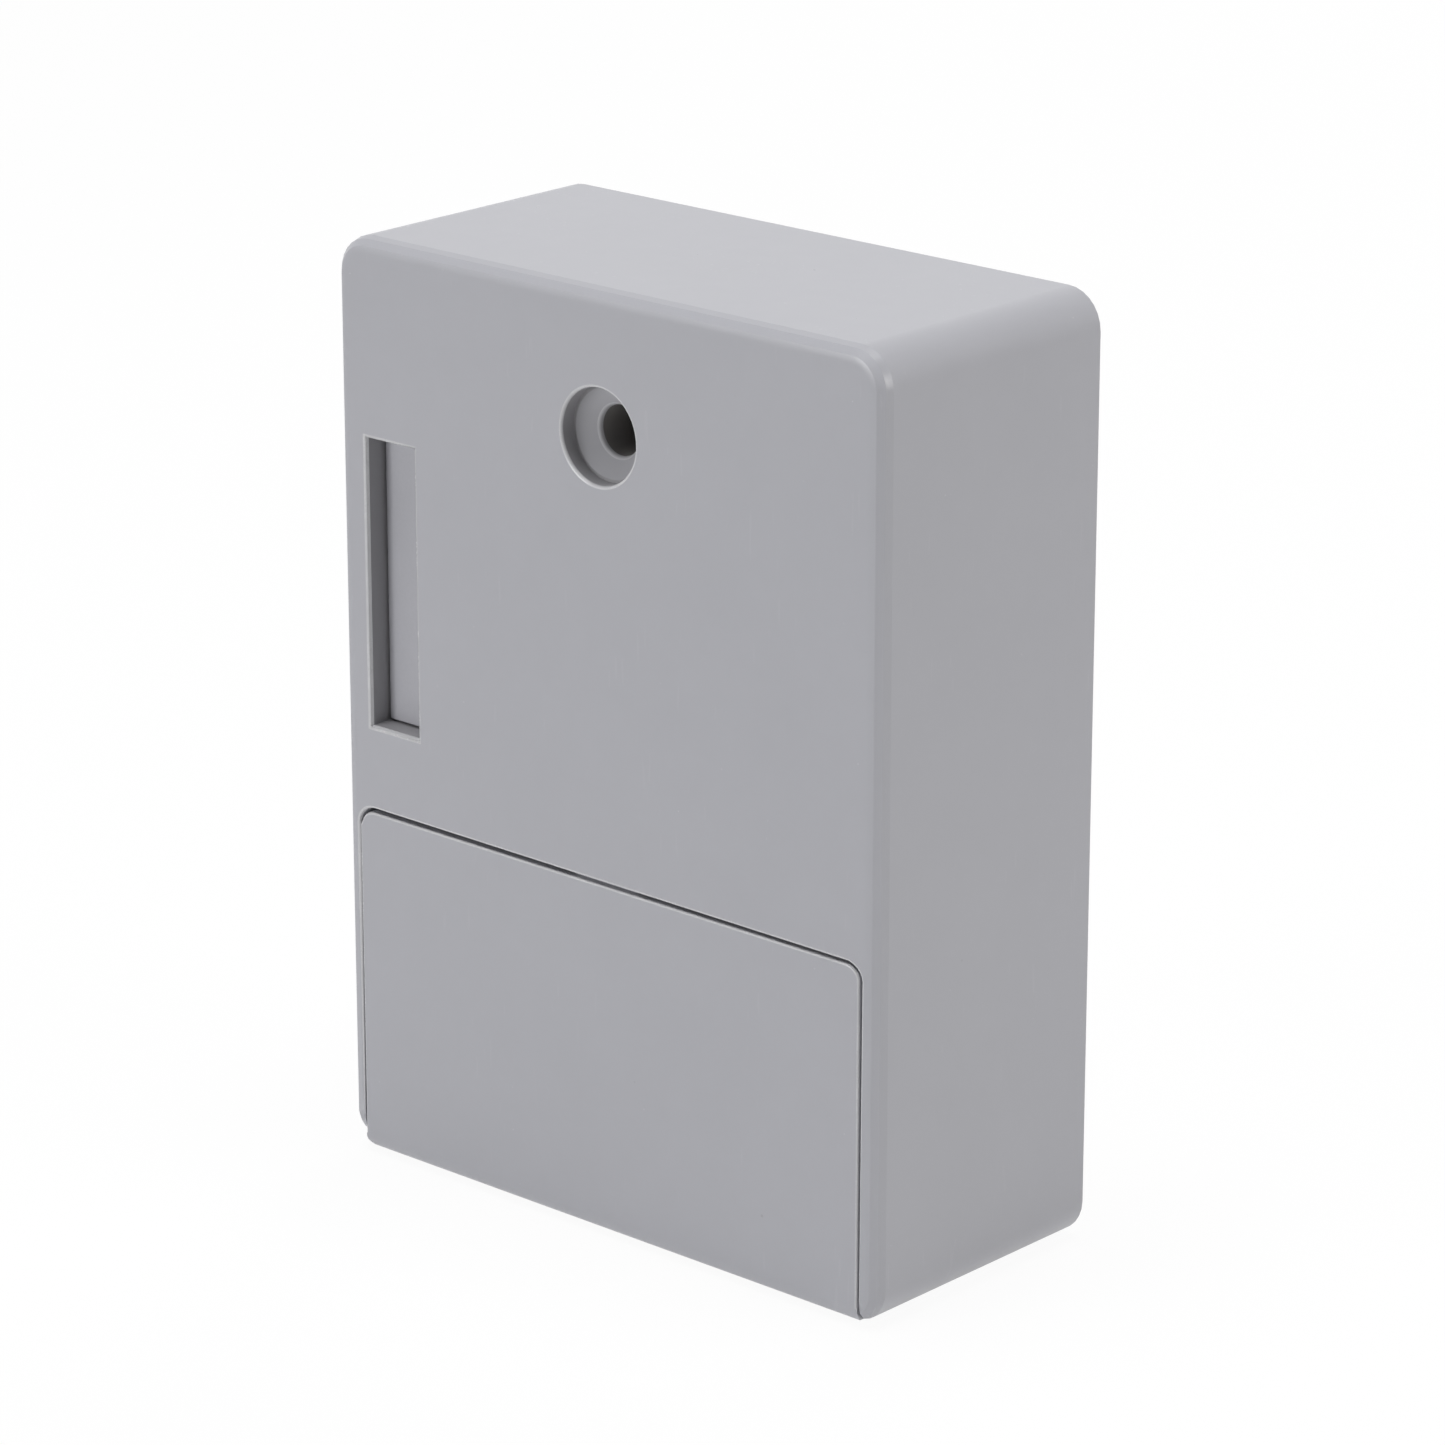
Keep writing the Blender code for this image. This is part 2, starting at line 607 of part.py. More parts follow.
def join(target, tools):
    return combine(target, "UNION", tools)


def cut(target, tools):
    return combine(target, "DIFFERENCE", tools)


def wire(name, points, radius, finish, resolution=1):
    """A round wire through the points."""
    curve = bpy.data.curves.new(name, "CURVE")
    curve.dimensions = "3D"
    curve.bevel_depth = radius
    curve.bevel_resolution = resolution
    curve.use_fill_caps = True
    spline = curve.splines.new("POLY")
    spline.points.add(len(points) - 1)
    for point, place in zip(spline.points, points):
        point.co = (*place, 1)
    return finished(mesh_of(linked(name, curve)), finish, smooth=True)


def helix(start, end, start_radius, end_radius, turns, steps_per_turn=8):
    """Points of a coil from one end's centre to the other's."""
    start, end = Vector(start), Vector(end)
    along = (end - start).normalized()
    side = along.orthogonal().normalized()
    other = along.cross(side)
    count = turns * steps_per_turn
    points = []
    for step in range(count + 1):
        share = step / count
        turn = 2 * math.pi * turns * share
        radius = start_radius + (end_radius - start_radius) * share
        centre = start.lerp(end, share)
        points.append(centre + side * radius * math.cos(turn) + other * radius * math.sin(turn))
    return points


def smooth_route(places):
    """Points along a smooth curve through the places of a lead."""
    places = [Vector(place) for place in places]
    padded = [2 * places[0] - places[1], *places, 2 * places[-1] - places[-2]]
    points = [places[0]]
    for before, start, end, after in zip(padded, padded[1:], padded[2:], padded[3:]):
        for step in range(1, LEAD_SAMPLES + 1):
            t = step / LEAD_SAMPLES
            bend = (2 * before - 5 * start + 4 * end - after) * t * t
            twist = (3 * start - before - 3 * end + after) * t * t * t
            points.append((2 * start + (end - before) * t + bend + twist) / 2)
    return points


def screw_at(name, x, z, seat_y, length=SCREW_LENGTH, head_radius=SCREW_HEAD_RADIUS):
    """A pan-head screw whose head faces the back, with its underside just off seat_y."""
    profile = (
        (0, SCREW_HEAD_HEIGHT),
        (head_radius * 0.72, SCREW_HEAD_HEIGHT),
        (head_radius, SCREW_HEAD_HEIGHT * 0.45),
        (head_radius, 0),
        (SCREW_SHANK_RADIUS, 0),
        (SCREW_SHANK_RADIUS, SCREW_TIP_LENGTH - length),
        (0, -length),
    )
    place = Matrix.Translation((x, seat_y + BOND_GAP, z)) @ AXIS_TURNS["Y"]
    return finished(turned(name, profile, place), "steel")


def involute(angle):
    """The involute function of a pressure angle."""
    return math.tan(angle) - angle


def gear_outline(x, z, teeth, module, addendum_share, mate_addendum_share, first_tooth):
    """An involute gear in x and z, with a tooth centred on the first_tooth direction."""
    pitch_radius = module * teeth / 2
    base_radius = pitch_radius * math.cos(PRESSURE_ANGLE)
    tip_radius = pitch_radius + addendum_share * module
    root_radius = pitch_radius - (mate_addendum_share + ROOT_CLEARANCE_SHARE) * module
    thickness = math.pi * module / 2 - BACKLASH

    def half_angle(radius):
        pressure = math.acos(min(1, base_radius / radius))
        return thickness / (2 * pitch_radius) + involute(PRESSURE_ANGLE) - involute(pressure)

    flank_start = max(base_radius, root_radius)
    flank = []
    for step in range(FLANK_STEPS + 1):
        radius = flank_start + (tip_radius - flank_start) * step / FLANK_STEPS
        flank.append((radius, half_angle(radius)))
    if root_radius < flank_start:
        flank.insert(0, (root_radius, flank[0][1]))
    tooth = [(radius, -half) for radius, half in flank] + [(r, half) for r, half in reversed(flank)]
    outline = []
    for number in range(teeth):
        centre = first_tooth + 2 * math.pi * number / teeth
        for radius, offset in tooth:
            turn = centre + offset
            outline.append((x + radius * math.cos(turn), z + radius * math.sin(turn)))
    return outline


def rounded_block(name, low, high, outline_radius, front_radius, back_radius):
    """A box with its outline, seen from the front, rounded, and its front and back rims eased."""
    piece = box(name, low, high)
    bm = bmesh.new()
    bm.from_mesh(piece.data)

    def runs_along_y(edge):
        return abs(edge.verts[0].co.y - edge.verts[1].co.y) > OVERRUN

    def lies_at(edge, y):
        return all(abs(vert.co.y - y) < MERGE for vert in edge.verts)

    def ease(edges, radius, steps):
        bmesh.ops.bevel(
            bm, geom=edges, offset=radius, segments=steps, affect="EDGES", profile=0.5, clamp_overlap=True
        )

    ease([edge for edge in bm.edges if runs_along_y(edge)], outline_radius, OUTLINE_STEPS)
    if front_radius:
        ease([edge for edge in bm.edges if lies_at(edge, low[1])], front_radius, EDGE_STEPS)
    if back_radius:
        ease([edge for edge in bm.edges if lies_at(edge, high[1])], back_radius, 1)
    bm.to_mesh(piece.data)
    bm.free()
    return piece


def housing_additions():
    """Walls, tubes, bosses and ribs moulded inside the housing."""
    reach = INNER_X + EMBED
    root_y = WALL_BACK_Y - EMBED
    tube_end = COVER_FRONT_Y - SEAT_GAP
    boss_end = tube_end - COVER_PAD_HEIGHT
    parts = [
        box("bay_floor", (-reach, BAY_FLOOR_FRONT_Y, BASE_WALL - EMBED), (reach, BAY_FLOOR_BACK_Y, BAY_ROOF_Z)),
        box("bay_roof", (-reach, root_y, BAY_TOP_Z), (reach, BAY_FLOOR_BACK_Y - EMBED, BAY_ROOF_Z)),
    ]
    for side in (-1, 1):
        ends = sorted((side * END_WALL_X, side * POCKET_X))
        wall_front = BAY_FLOOR_FRONT_Y - END_WALL_DEPTH
        parts.append(
            box(
                "end_wall",
                (ends[0], wall_front, BASE_WALL - EMBED),
                (ends[1], BAY_FLOOR_FRONT_Y + EMBED, BAY_TOP_Z + EMBED),
            )
        )
        middle = side * CRADLE_OFFSET
        parts.append(
            box(
                "cell_cradle",
                (middle - CRADLE_WIDTH / 2, BAY_FLOOR_FRONT_Y - CRADLE_DEPTH, BASE_WALL - EMBED),
                (middle + CRADLE_WIDTH / 2, BAY_FLOOR_FRONT_Y + EMBED, BAY_TOP_Z + EMBED),
            )
        )
        place = (side * LOWER_HOLE_X, LOWER_HOLE_HEIGHT)
        parts.append(rod("lower_tube", "Y", BAY_FLOOR_BACK_Y - EMBED, tube_end, place, TUBE_RADIUS))
    top = (0, TOP_HOLE_Z)
    counterbore_end = FRONT_Y + COUNTERBORE_DEPTH + COUNTERBORE_BACKING
    parts += [
        rod("top_tube", "Y", root_y, tube_end, top, TUBE_RADIUS),
        rod("top_boss", "Y", root_y, counterbore_end, top, COUNTERBORE_RADIUS + COUNTERBORE_WALL, FINE_STEPS),
        box(
            "hook_channel",
            (-reach, root_y, SLOT_BOTTOM_Z - CHANNEL_WALL),
            (CHANNEL_X, CAP_FRONT_Y - SEAT_GAP, SLOT_TOP_Z + CHANNEL_WALL),
        ),
    ]
    for z in CAP_BOSS_ZS:
        parts.append(rod("cap_boss", "Y", root_y, CAP_FRONT_Y - SEAT_GAP, (SLOT_X, z), BOSS_RADIUS))
    for x, z in COVER_SCREWS:
        side = math.copysign(1, x)
        wall = side * reach
        start = BAY_FLOOR_BACK_Y - EMBED if z < BAY_ROOF_Z else root_y
        parts.append(rod("cover_boss", "Y", start, boss_end, (x, z), BOSS_RADIUS))
        low, high = sorted((x, wall))
        web = (low, start, z - BOSS_WEB / 2), (high, boss_end - SEAT_GAP, z + BOSS_WEB / 2)
        parts.append(box("boss_side_web", *web))
        if z > BAY_ROOF_Z:
            web = (x - BOSS_WEB / 2, start, z), (x + BOSS_WEB / 2, boss_end - SEAT_GAP, TOP_Z + EMBED)
            parts.append(box("boss_top_web", *web))
    for x, z in MECHANISM_SCREWS:
        parts.append(rod("mechanism_boss", "Y", root_y, PLATE_FRONT_Y - SEAT_GAP, (x, z), BOSS_RADIUS))
    for x, z in BOARD_SCREWS:
        span = BAY_FLOOR_BACK_Y - EMBED, BOARD_FRONT_Y - SEAT_GAP
        parts.append(rod("board_boss", "Y", *span, (x, z), BOARD_BOSS_RADIUS, SMALL_STEPS))
    parts.append(rod("axle_boss", "Y", root_y, AXLE_BOSS_Y, (GEAR_X, GEAR_Z), AXLE_BOSS_RADIUS))
    return parts + bolt_guides() + hook_switch_cradle()


def bolt_guides():
    """Ribs under, over and in front of the bolt, clear of the gears."""
    root_y = WALL_BACK_Y - EMBED
    front = BOLT_FRONT_Y - BOLT_CLEARANCE
    back = PLATE_FRONT_Y - SEAT_GAP
    under = BOLT_BOTTOM_Z - BOLT_CLEARANCE
    over = BOLT_TOP_Z + BOLT_CLEARANCE
    gear_reach = REDUCTION_RADIUS + MOTOR_MODULE + BOLT_CLEARANCE
    near_x = GEAR_X - gear_reach - BOLT_CLEARANCE
    far_x = GEAR_X + gear_reach + BOLT_CLEARANCE
    channel = CHANNEL_X - EMBED
    return [
        box("guide_floor", (channel, root_y, under - GUIDE_WALL), (near_x, back, under)),
        box("guide_floor_end", (far_x, root_y, under - GUIDE_WALL), (BOLT_END_X, back, under)),
        box("guide_roof", (channel, root_y, over), (near_x, back, over + GUIDE_WALL)),
        box("guide_ledge", (channel, root_y, under - GUIDE_WALL), (near_x, front, SLOT_Z)),
        box("guide_ledge_end", (far_x, root_y, under - GUIDE_WALL), (BOLT_END_X, front, SLOT_Z)),
    ]


def hook_switch_cradle():
    """The block beside the channel that the hook switch drops into."""
    grip = HOOK_SWITCH_HEIGHT / 2 + HOOK_SWITCH_CLEARANCE + HOOK_SWITCH_CRADLE
    return [
        box(
            "switch_cradle",
            (CHANNEL_X - EMBED, WALL_BACK_Y - EMBED, SWITCH_Z - grip),
            (SWITCH_END_X, SWITCH_HIGH_Y - HOOK_SWITCH_CRADLE, SWITCH_Z + grip),
        )
    ]


def seat_cone(name, start, depth, place, radius, steps):
    """A cone that narrows from a screw seat's mouth to the mounting hole."""
    slope = (radius - MOUNT_HOLE_RADIUS) / depth
    margin = slope * CUT_OVERLAP
    span = start - CUT_OVERLAP, start + depth + CUT_OVERLAP
    return rod(name, "Y", *span, place, radius + margin, steps, MOUNT_HOLE_RADIUS - margin)


def mount_hole_cutters():
    """The three screw holes, the top one counterbored and countersunk from the front."""
    top = (0, TOP_HOLE_Z)
    bore_end = FRONT_Y + COUNTERBORE_DEPTH
    through = bore_end + SEAT_CONE_DEPTH / 2, BACK_Y
    tools = [
        rod("counterbore", "Y", FRONT_Y - OVERRUN, bore_end, top, COUNTERBORE_RADIUS, FINE_STEPS),
        seat_cone("countersink", bore_end, SEAT_CONE_DEPTH, top, SEAT_RADIUS, FINE_STEPS),
        rod("top_hole", "Y", *through, top, MOUNT_HOLE_RADIUS, FINE_STEPS),
    ]
    for side in (-1, 1):
        place = (side * LOWER_HOLE_X, LOWER_HOLE_HEIGHT)
        start = BAY_FLOOR_FRONT_Y
        through = start + POCKET_SEAT_DEPTH / 2, BACK_Y
        tools.append(
            seat_cone("pocket_seat", start, POCKET_SEAT_DEPTH, place, POCKET_SEAT_RADIUS, ROUND_STEPS)
        )
        tools.append(rod("lower_hole", "Y", *through, place, MOUNT_HOLE_RADIUS))
    return tools


def pilot(name, x, z, mouth_y, length=SCREW_LENGTH):
    """A blind hole for a screw, entered from the back."""
    radius = SCREW_SHANK_RADIUS + SCREW_CLEARANCE
    return rod(name, "Y", mouth_y - length, mouth_y + OVERRUN, (x, z), radius, SMALL_STEPS)


def door_opening_cutters():
    """The opening for the battery door, with its hinge trough, pin sockets and snap groove."""
    before = FRONT_Y - OVERRUN
    opening = rounded_outline(
        -INNER_X, -OVERRUN, INNER_X, OPENING_TOP_Z, EMBED, DOOR_TOP_RADIUS + DOOR_SIDE_GAP
    )
    trough = HINGE_RADIUS + HINGE_GAP
    socket_radius = HINGE_PIN_RADIUS + HINGE_PIN_CLEARANCE
    socket_end = INNER_X - DOOR_SIDE_GAP + HINGE_PIN_LENGTH + HINGE_GAP
    snap_reach = SNAP_WIDTH / 2 + SEAT_GAP
    snap_radius = SNAP_RADIUS + SEAT_GAP
    return [
        profile_plate("door_opening", opening, before, WALL_BACK_Y + EMBED),
        rod("hinge_trough", "X", -INNER_X, INNER_X, (HINGE_Y, HINGE_Z), trough),
        rod("pin_sockets", "X", -socket_end, socket_end, (HINGE_Y, HINGE_Z), socket_radius, SMALL_STEPS),
        rod("snap_groove", "X", -snap_reach, snap_reach, (SNAP_Y, SNAP_Z), snap_radius, SMALL_STEPS),
    ]


def housing_cuts():
    """Every opening in the housing."""
    before = FRONT_Y - OVERRUN
    tools = door_opening_cutters() + mount_hole_cutters()
    channel = (SLOT_LEFT_X, before, SLOT_BOTTOM_Z), (SLOT_RIGHT_X, CAP_FRONT_Y + OVERRUN, SLOT_TOP_Z)
    tools.append(box("channel_bore", *channel))
    gap = BOLT_CLEARANCE
    tools.append(
        box(
            "bolt_window",
            (SLOT_X, BOLT_FRONT_Y - gap, BOLT_BOTTOM_Z - gap),
            (CHANNEL_X + gap, BOLT_BACK_Y + gap, BOLT_TOP_Z + gap),
        )
    )
    grip = HOOK_SWITCH_HEIGHT / 2 + HOOK_SWITCH_CLEARANCE
    tools.append(
        box(
            "switch_pocket",
            (SWITCH_X - HOOK_SWITCH_CLEARANCE, SWITCH_LOW_Y - HOOK_SWITCH_CLEARANCE, SWITCH_Z - grip),
            (SWITCH_END_X + OVERRUN, SWITCH_HIGH_Y + OVERRUN, SWITCH_Z + grip),
        )
    )
    plunger_hole = PLUNGER_RADIUS + PLUNGER_CLEARANCE
    tools.append(
        rod("plunger_hole", "X", SLOT_X, SWITCH_X + EMBED, (PLUNGER_Y, SWITCH_Z), plunger_hole, SMALL_STEPS)
    )
    axle_hole = AXLE_RADIUS + AXLE_CLEARANCE
    axle = (GEAR_X, GEAR_Z)
    tools.append(rod("axle_hole", "Y", WALL_BACK_Y, REDUCTION_FRONT_Y, axle, axle_hole, SMALL_STEPS))
    button_hole = SETUP_BUTTON_RADIUS + SETUP_CLEARANCE
    span = BAY_FLOOR_FRONT_Y - OVERRUN, BAY_FLOOR_BACK_Y + OVERRUN
    tools.append(rod("button_hole", "Y", *span, (SETUP_X, SETUP_Z), button_hole))
    for x, z in BATTERY_TABS.values():
        hole = LEAD_RADIUS + LEAD_HOLE_CLEARANCE
        tools.append(rod("lead_hole", "Y", *span, (x, z), hole, SMALL_STEPS))
    for number in range(CELL_COUNT):
        reach = CRADLE_OFFSET + CRADLE_WIDTH
        centre = (CELL_Y, cell_z(number))
        tools.append(rod("cell_seat", "X", -reach, reach, centre, CELL_RADIUS + SEAT_GAP, ROUND_STEPS))
    tools += [pilot("cap_pilot", SLOT_X, z, CAP_FRONT_Y - SEAT_GAP) for z in CAP_BOSS_ZS]
    mouth = COVER_FRONT_Y - SEAT_GAP - COVER_PAD_HEIGHT
    tools += [pilot("cover_pilot", x, z, mouth) for x, z in COVER_SCREWS]
    tools += [pilot("mechanism_pilot", x, z, PLATE_FRONT_Y - SEAT_GAP) for x, z in MECHANISM_SCREWS]
    tools += [pilot("board_pilot", x, z, BOARD_FRONT_Y - SEAT_GAP) for x, z in BOARD_SCREWS]
    return tools


def cell_z(number):
    """The height of a cell's axis, counted from the lowest cell."""
    return BASE_WALL + CELL_RISE + CELL_PITCH * (number + 0.5)


BATTERY_TABS = {
    "red": (CONTACT_X - 0.8 * CONTACT_BUMP_RADIUS, cell_z(0) - 0.5 * CELL_RADIUS),
    "black": (CONTACT_X - 0.8 * CONTACT_BUMP_RADIUS, cell_z(CELL_COUNT - 1) + 0.5 * CELL_RADIUS),
}


def build_housing():
    """The moulded front shell with everything it carries."""
    shell = rounded_block(
        "front_housing",
        (-SIDE_X, FRONT_Y, 0),
        (SIDE_X, BACK_Y, HEIGHT),
        OUTLINE_RADIUS,
        FRONT_EDGE_RADIUS,
        BACK_EDGE_RADIUS,
    )
    cavity = rounded_block(
        "cavity",
        (-INNER_X, WALL_BACK_Y, BASE_WALL),
        (INNER_X, BACK_Y + OVERRUN, TOP_Z),
        OUTLINE_RADIUS - SIDE_WALL,
        0,
        0,
    )
    cut(shell, [cavity])
    join(shell, housing_additions())
    final = combine(shell, "DIFFERENCE", housing_cuts())
    return finished(final, "housing_grey")


def build_back_cover():
    """The inset back plate with pads over the screw bosses."""
    edge = COVER_GAP
    outline = rounded_outline(
        -INNER_X + edge,
        BASE_WALL + edge,
        INNER_X - edge,
        TOP_Z - edge,
        OUTLINE_RADIUS - SIDE_WALL - edge,
        OUTLINE_RADIUS - SIDE_WALL - edge,
    )
    cover = profile_plate("back_cover", outline, COVER_FRONT_Y, BACK_Y)
    pads = []
    holes = []
    seat = BACK_Y - COVER_SCREW_RECESS - SCREW_HEAD_HEIGHT - BOND_GAP
    for x, z in COVER_SCREWS:
        pads.append(
            rod("cover_pad", "Y", COVER_FRONT_Y - COVER_PAD_HEIGHT, COVER_FRONT_Y + EMBED, (x, z), COVER_PAD_RADIUS)
        )
        clear = SCREW_SHANK_RADIUS + SCREW_CLEARANCE
        start = COVER_FRONT_Y - COVER_PAD_HEIGHT - OVERRUN
        holes.append(rod("cover_clearance", "Y", start, BACK_Y, (x, z), clear, SMALL_STEPS))
        head = SCREW_HEAD_RADIUS + SCREW_CLEARANCE
        holes.append(rod("cover_counterbore", "Y", seat, BACK_Y + OVERRUN, (x, z), head, ROUND_STEPS))
    for x, z in MOUNT_HOLES:
        span = COVER_FRONT_Y - OVERRUN, BACK_Y + OVERRUN
        holes.append(rod("cover_mount_hole", "Y", *span, (x, z), MOUNT_HOLE_RADIUS, ROUND_STEPS))
    join(cover, pads)
    cut(cover, holes)
    finished(cover, "housing_grey")
    for number, (x, z) in enumerate(COVER_SCREWS, start=1):
        screw_at(f"back_cover_screw_{number}", x, z, seat)


def build_door():
    """The battery door, a flap that turns on its rounded bottom edge."""
    edge_x = INNER_X - DOOR_SIDE_GAP
    inner_y = FRONT_Y + DOOR_THICKNESS
    outline = rounded_outline(-edge_x, DOOR_FLOOR_GAP, edge_x, DOOR_TOP_Z, DOOR_LOWER_RADIUS, DOOR_TOP_RADIUS)
    door = box("battery_door", (-edge_x, FRONT_Y, HINGE_Z), (edge_x, inner_y, DOOR_TOP_Z))
    barrel = rod("hinge_barrel", "X", -edge_x, edge_x, (HINGE_Y, HINGE_Z), HINGE_RADIUS)
    trim = profile_plate("door_trim", outline, FRONT_Y - OVERRUN, HINGE_Y + HINGE_RADIUS + OVERRUN)
    join(door, [barrel])
    combine(door, "INTERSECT", [trim])
    pin_reach = edge_x + HINGE_PIN_LENGTH
    pins = rod("hinge_pins", "X", -pin_reach, pin_reach, (HINGE_Y, HINGE_Z), HINGE_PIN_RADIUS, SMALL_STEPS)
    snap = rod("snap", "X", -SNAP_WIDTH / 2, SNAP_WIDTH / 2, (SNAP_Y, SNAP_Z), SNAP_RADIUS, SMALL_STEPS)
    ribs = []
    for side in (-1, 1):
        middle = side * (edge_x - DOOR_RIB_INSET)
        low = (middle - DOOR_RIB_WIDTH / 2, inner_y - EMBED, HINGE_Z + DOOR_RIB_END)
        high = (middle + DOOR_RIB_WIDTH / 2, inner_y + DOOR_RIB_DEPTH, DOOR_TOP_Z - DOOR_RIB_END)
        ribs.append(box("door_rib", low, high))
    join(door, [pins, snap, *ribs])
    whole = mesh_of(door)
    finished(whole, "housing_grey", origin=(0, HINGE_Y, HINGE_Z))


def build_cells():
    """Four cells head to tail, with the springs at their flat ends."""
    for number in range(CELL_COUNT):
        side = 1 if number % 2 == 0 else -1
        z = cell_z(number)
        nub_end = CONTACT_X - CONTACT_BUMP_HEIGHT - SEAT_GAP
        shoulder = nub_end - CELL_NUB_LENGTH
        profile = (
            (0, nub_end),
            (CELL_NUB_RADIUS, nub_end),
            (CELL_NUB_RADIUS, shoulder),
            (CELL_RADIUS - CELL_EDGE_RADIUS, shoulder),
            (CELL_RADIUS, shoulder - CELL_EDGE_RADIUS),
            (CELL_RADIUS, shoulder - CELL_BODY_LENGTH + CELL_EDGE_RADIUS),
            (CELL_RADIUS - CELL_EDGE_RADIUS, shoulder - CELL_BODY_LENGTH),
            (0, shoulder - CELL_BODY_LENGTH),
        )
        turn = Matrix.Rotation(math.radians(90 * side), 4, "Y")
        place = Matrix.Translation((0, CELL_Y, z)) @ turn
        finished(turned(f"battery_cell_{number + 1}", profile, place, ROUND_STEPS), "cell_jacket")
        flat_end = -side * (CELL_BODY_LENGTH - shoulder)
        wide = CELL_SPRING_WIRE_RADIUS
        coil_start = -side * (CONTACT_X - wide - BOND_GAP)
        coil_end = flat_end - side * (wide + BOND_GAP)
        coil = helix(
            (coil_start, CELL_Y, z),
            (coil_end, CELL_Y, z),
            CELL_SPRING_BASE_RADIUS,
            CELL_SPRING_TIP_RADIUS,
            CELL_SPRING_TURNS,
        )
        wire(f"battery_spring_{number + 1}", coil, wide, "steel")


def build_contacts():
    """Sheet-metal contacts: single plates at the stack's ends, double ones between cells."""
    groups = {
        "contact_plate_left_lower": (-1, 0, 1),
        "contact_plate_left_upper": (-1, 2, 3),
        "contact_plate_right_bottom": (1, 0, 0),
        "contact_plate_right_middle": (1, 1, 2),
        "contact_plate_right_top": (1, 3, 3),
    }
    for name, (side, first, last) in groups.items():
        xs = sorted((side * CONTACT_X, side * (CONTACT_X + CONTACT_THICKNESS)))
        low_z = cell_z(first) - CELL_PITCH / 2 + CONTACT_MARGIN / 2
        high_z = cell_z(last) + CELL_PITCH / 2 - CONTACT_MARGIN / 2
        low = (xs[0], CELL_Y - CONTACT_DEPTH / 2, low_z)
        plate = box(name, low, (xs[1], CELL_Y + CONTACT_DEPTH / 2, high_z))
        bumps = []
        for number in range(first, last + 1):
            if (number % 2 == 0) == (side > 0):
                face = side * (CONTACT_X + CONTACT_THICKNESS / 2)
                start, end = sorted((face, side * (CONTACT_X - CONTACT_BUMP_HEIGHT)))
                bumps.append(
                    rod("bump", "X", start, end, (CELL_Y, cell_z(number)), CONTACT_BUMP_RADIUS, SMALL_STEPS)
                )
        if bumps:
            join(plate, bumps)
        finished(plate, "steel")


def build_ejector():
    """The sprung block that fills the slot until the hook pushes it back."""
    outline = rounded_outline(
        EJECTOR_LOW_X,
        EJECTOR_LOW_Z,
        EJECTOR_HIGH_X,
        EJECTOR_HIGH_Z,
        EJECTOR_CORNER_RADIUS,
        EJECTOR_CORNER_RADIUS,
        3,
    )
    block = profile_plate("ejector_block", outline, EJECTOR_FRONT_Y, EJECTOR_BACK_Y)
    middle_low = EJECTOR_LOW_Z + EJECTOR_CUP_HEIGHT
    middle_high = EJECTOR_HIGH_Z - EJECTOR_CUP_HEIGHT
    tools = [
        box(
            "bolt_passage",
            (SLOT_LEFT_X - OVERRUN, EJECTOR_PLATE_Y, middle_low),
            (SLOT_RIGHT_X + OVERRUN, EJECTOR_BACK_Y + OVERRUN, middle_high),
        )
    ]
    bore_start = EJECTOR_FRONT_Y + EJECTOR_SKIN
    for z in EJECTOR_SPRING_ZS.values():
        span = bore_start, EJECTOR_BACK_Y + OVERRUN
        tools.append(rod("spring_bore", "Y", *span, (SLOT_X, z), EJECTOR_BORE_RADIUS))
    cut(block, tools + [plunger_ramp()])
    whole = mesh_of(block)
    finished(whole, "ejector_grey", origin=(SLOT_X, EJECTOR_FRONT_Y, SLOT_Z))
    coil_radius = EJECTOR_SPRING_RADIUS
    wide = EJECTOR_SPRING_WIRE_RADIUS
    for level, z in EJECTOR_SPRING_ZS.items():
        start = (SLOT_X, bore_start + wide + BOND_GAP, z)
        end = (SLOT_X, CAP_FRONT_Y - wide - BOND_GAP, z)
        coil = helix(start, end, coil_radius, coil_radius, EJECTOR_SPRING_TURNS)
        wire(f"ejector_spring_{level}", coil, wide, "steel")


def plunger_ramp():
    """The sloping groove in the ejector's side that works the hook switch."""
    start_y = PLUNGER_Y - EJECTOR_TRAVEL
    slope = PLUNGER_TRAVEL / EJECTOR_TRAVEL
    end_y = EJECTOR_BACK_Y + OVERRUN
    ramp = box(
        "plunger_ramp",
        (EJECTOR_HIGH_X, start_y, SWITCH_Z - PLUNGER_GROOVE_HEIGHT / 2),
        (EJECTOR_HIGH_X + OVERRUN, end_y, SWITCH_Z + PLUNGER_GROOVE_HEIGHT / 2),
    )
    for vert in ramp.data.vertices:
        if vert.co.x < EJECTOR_HIGH_X + EMBED:
            vert.co.x -= slope * (vert.co.y - start_y)
    return ramp


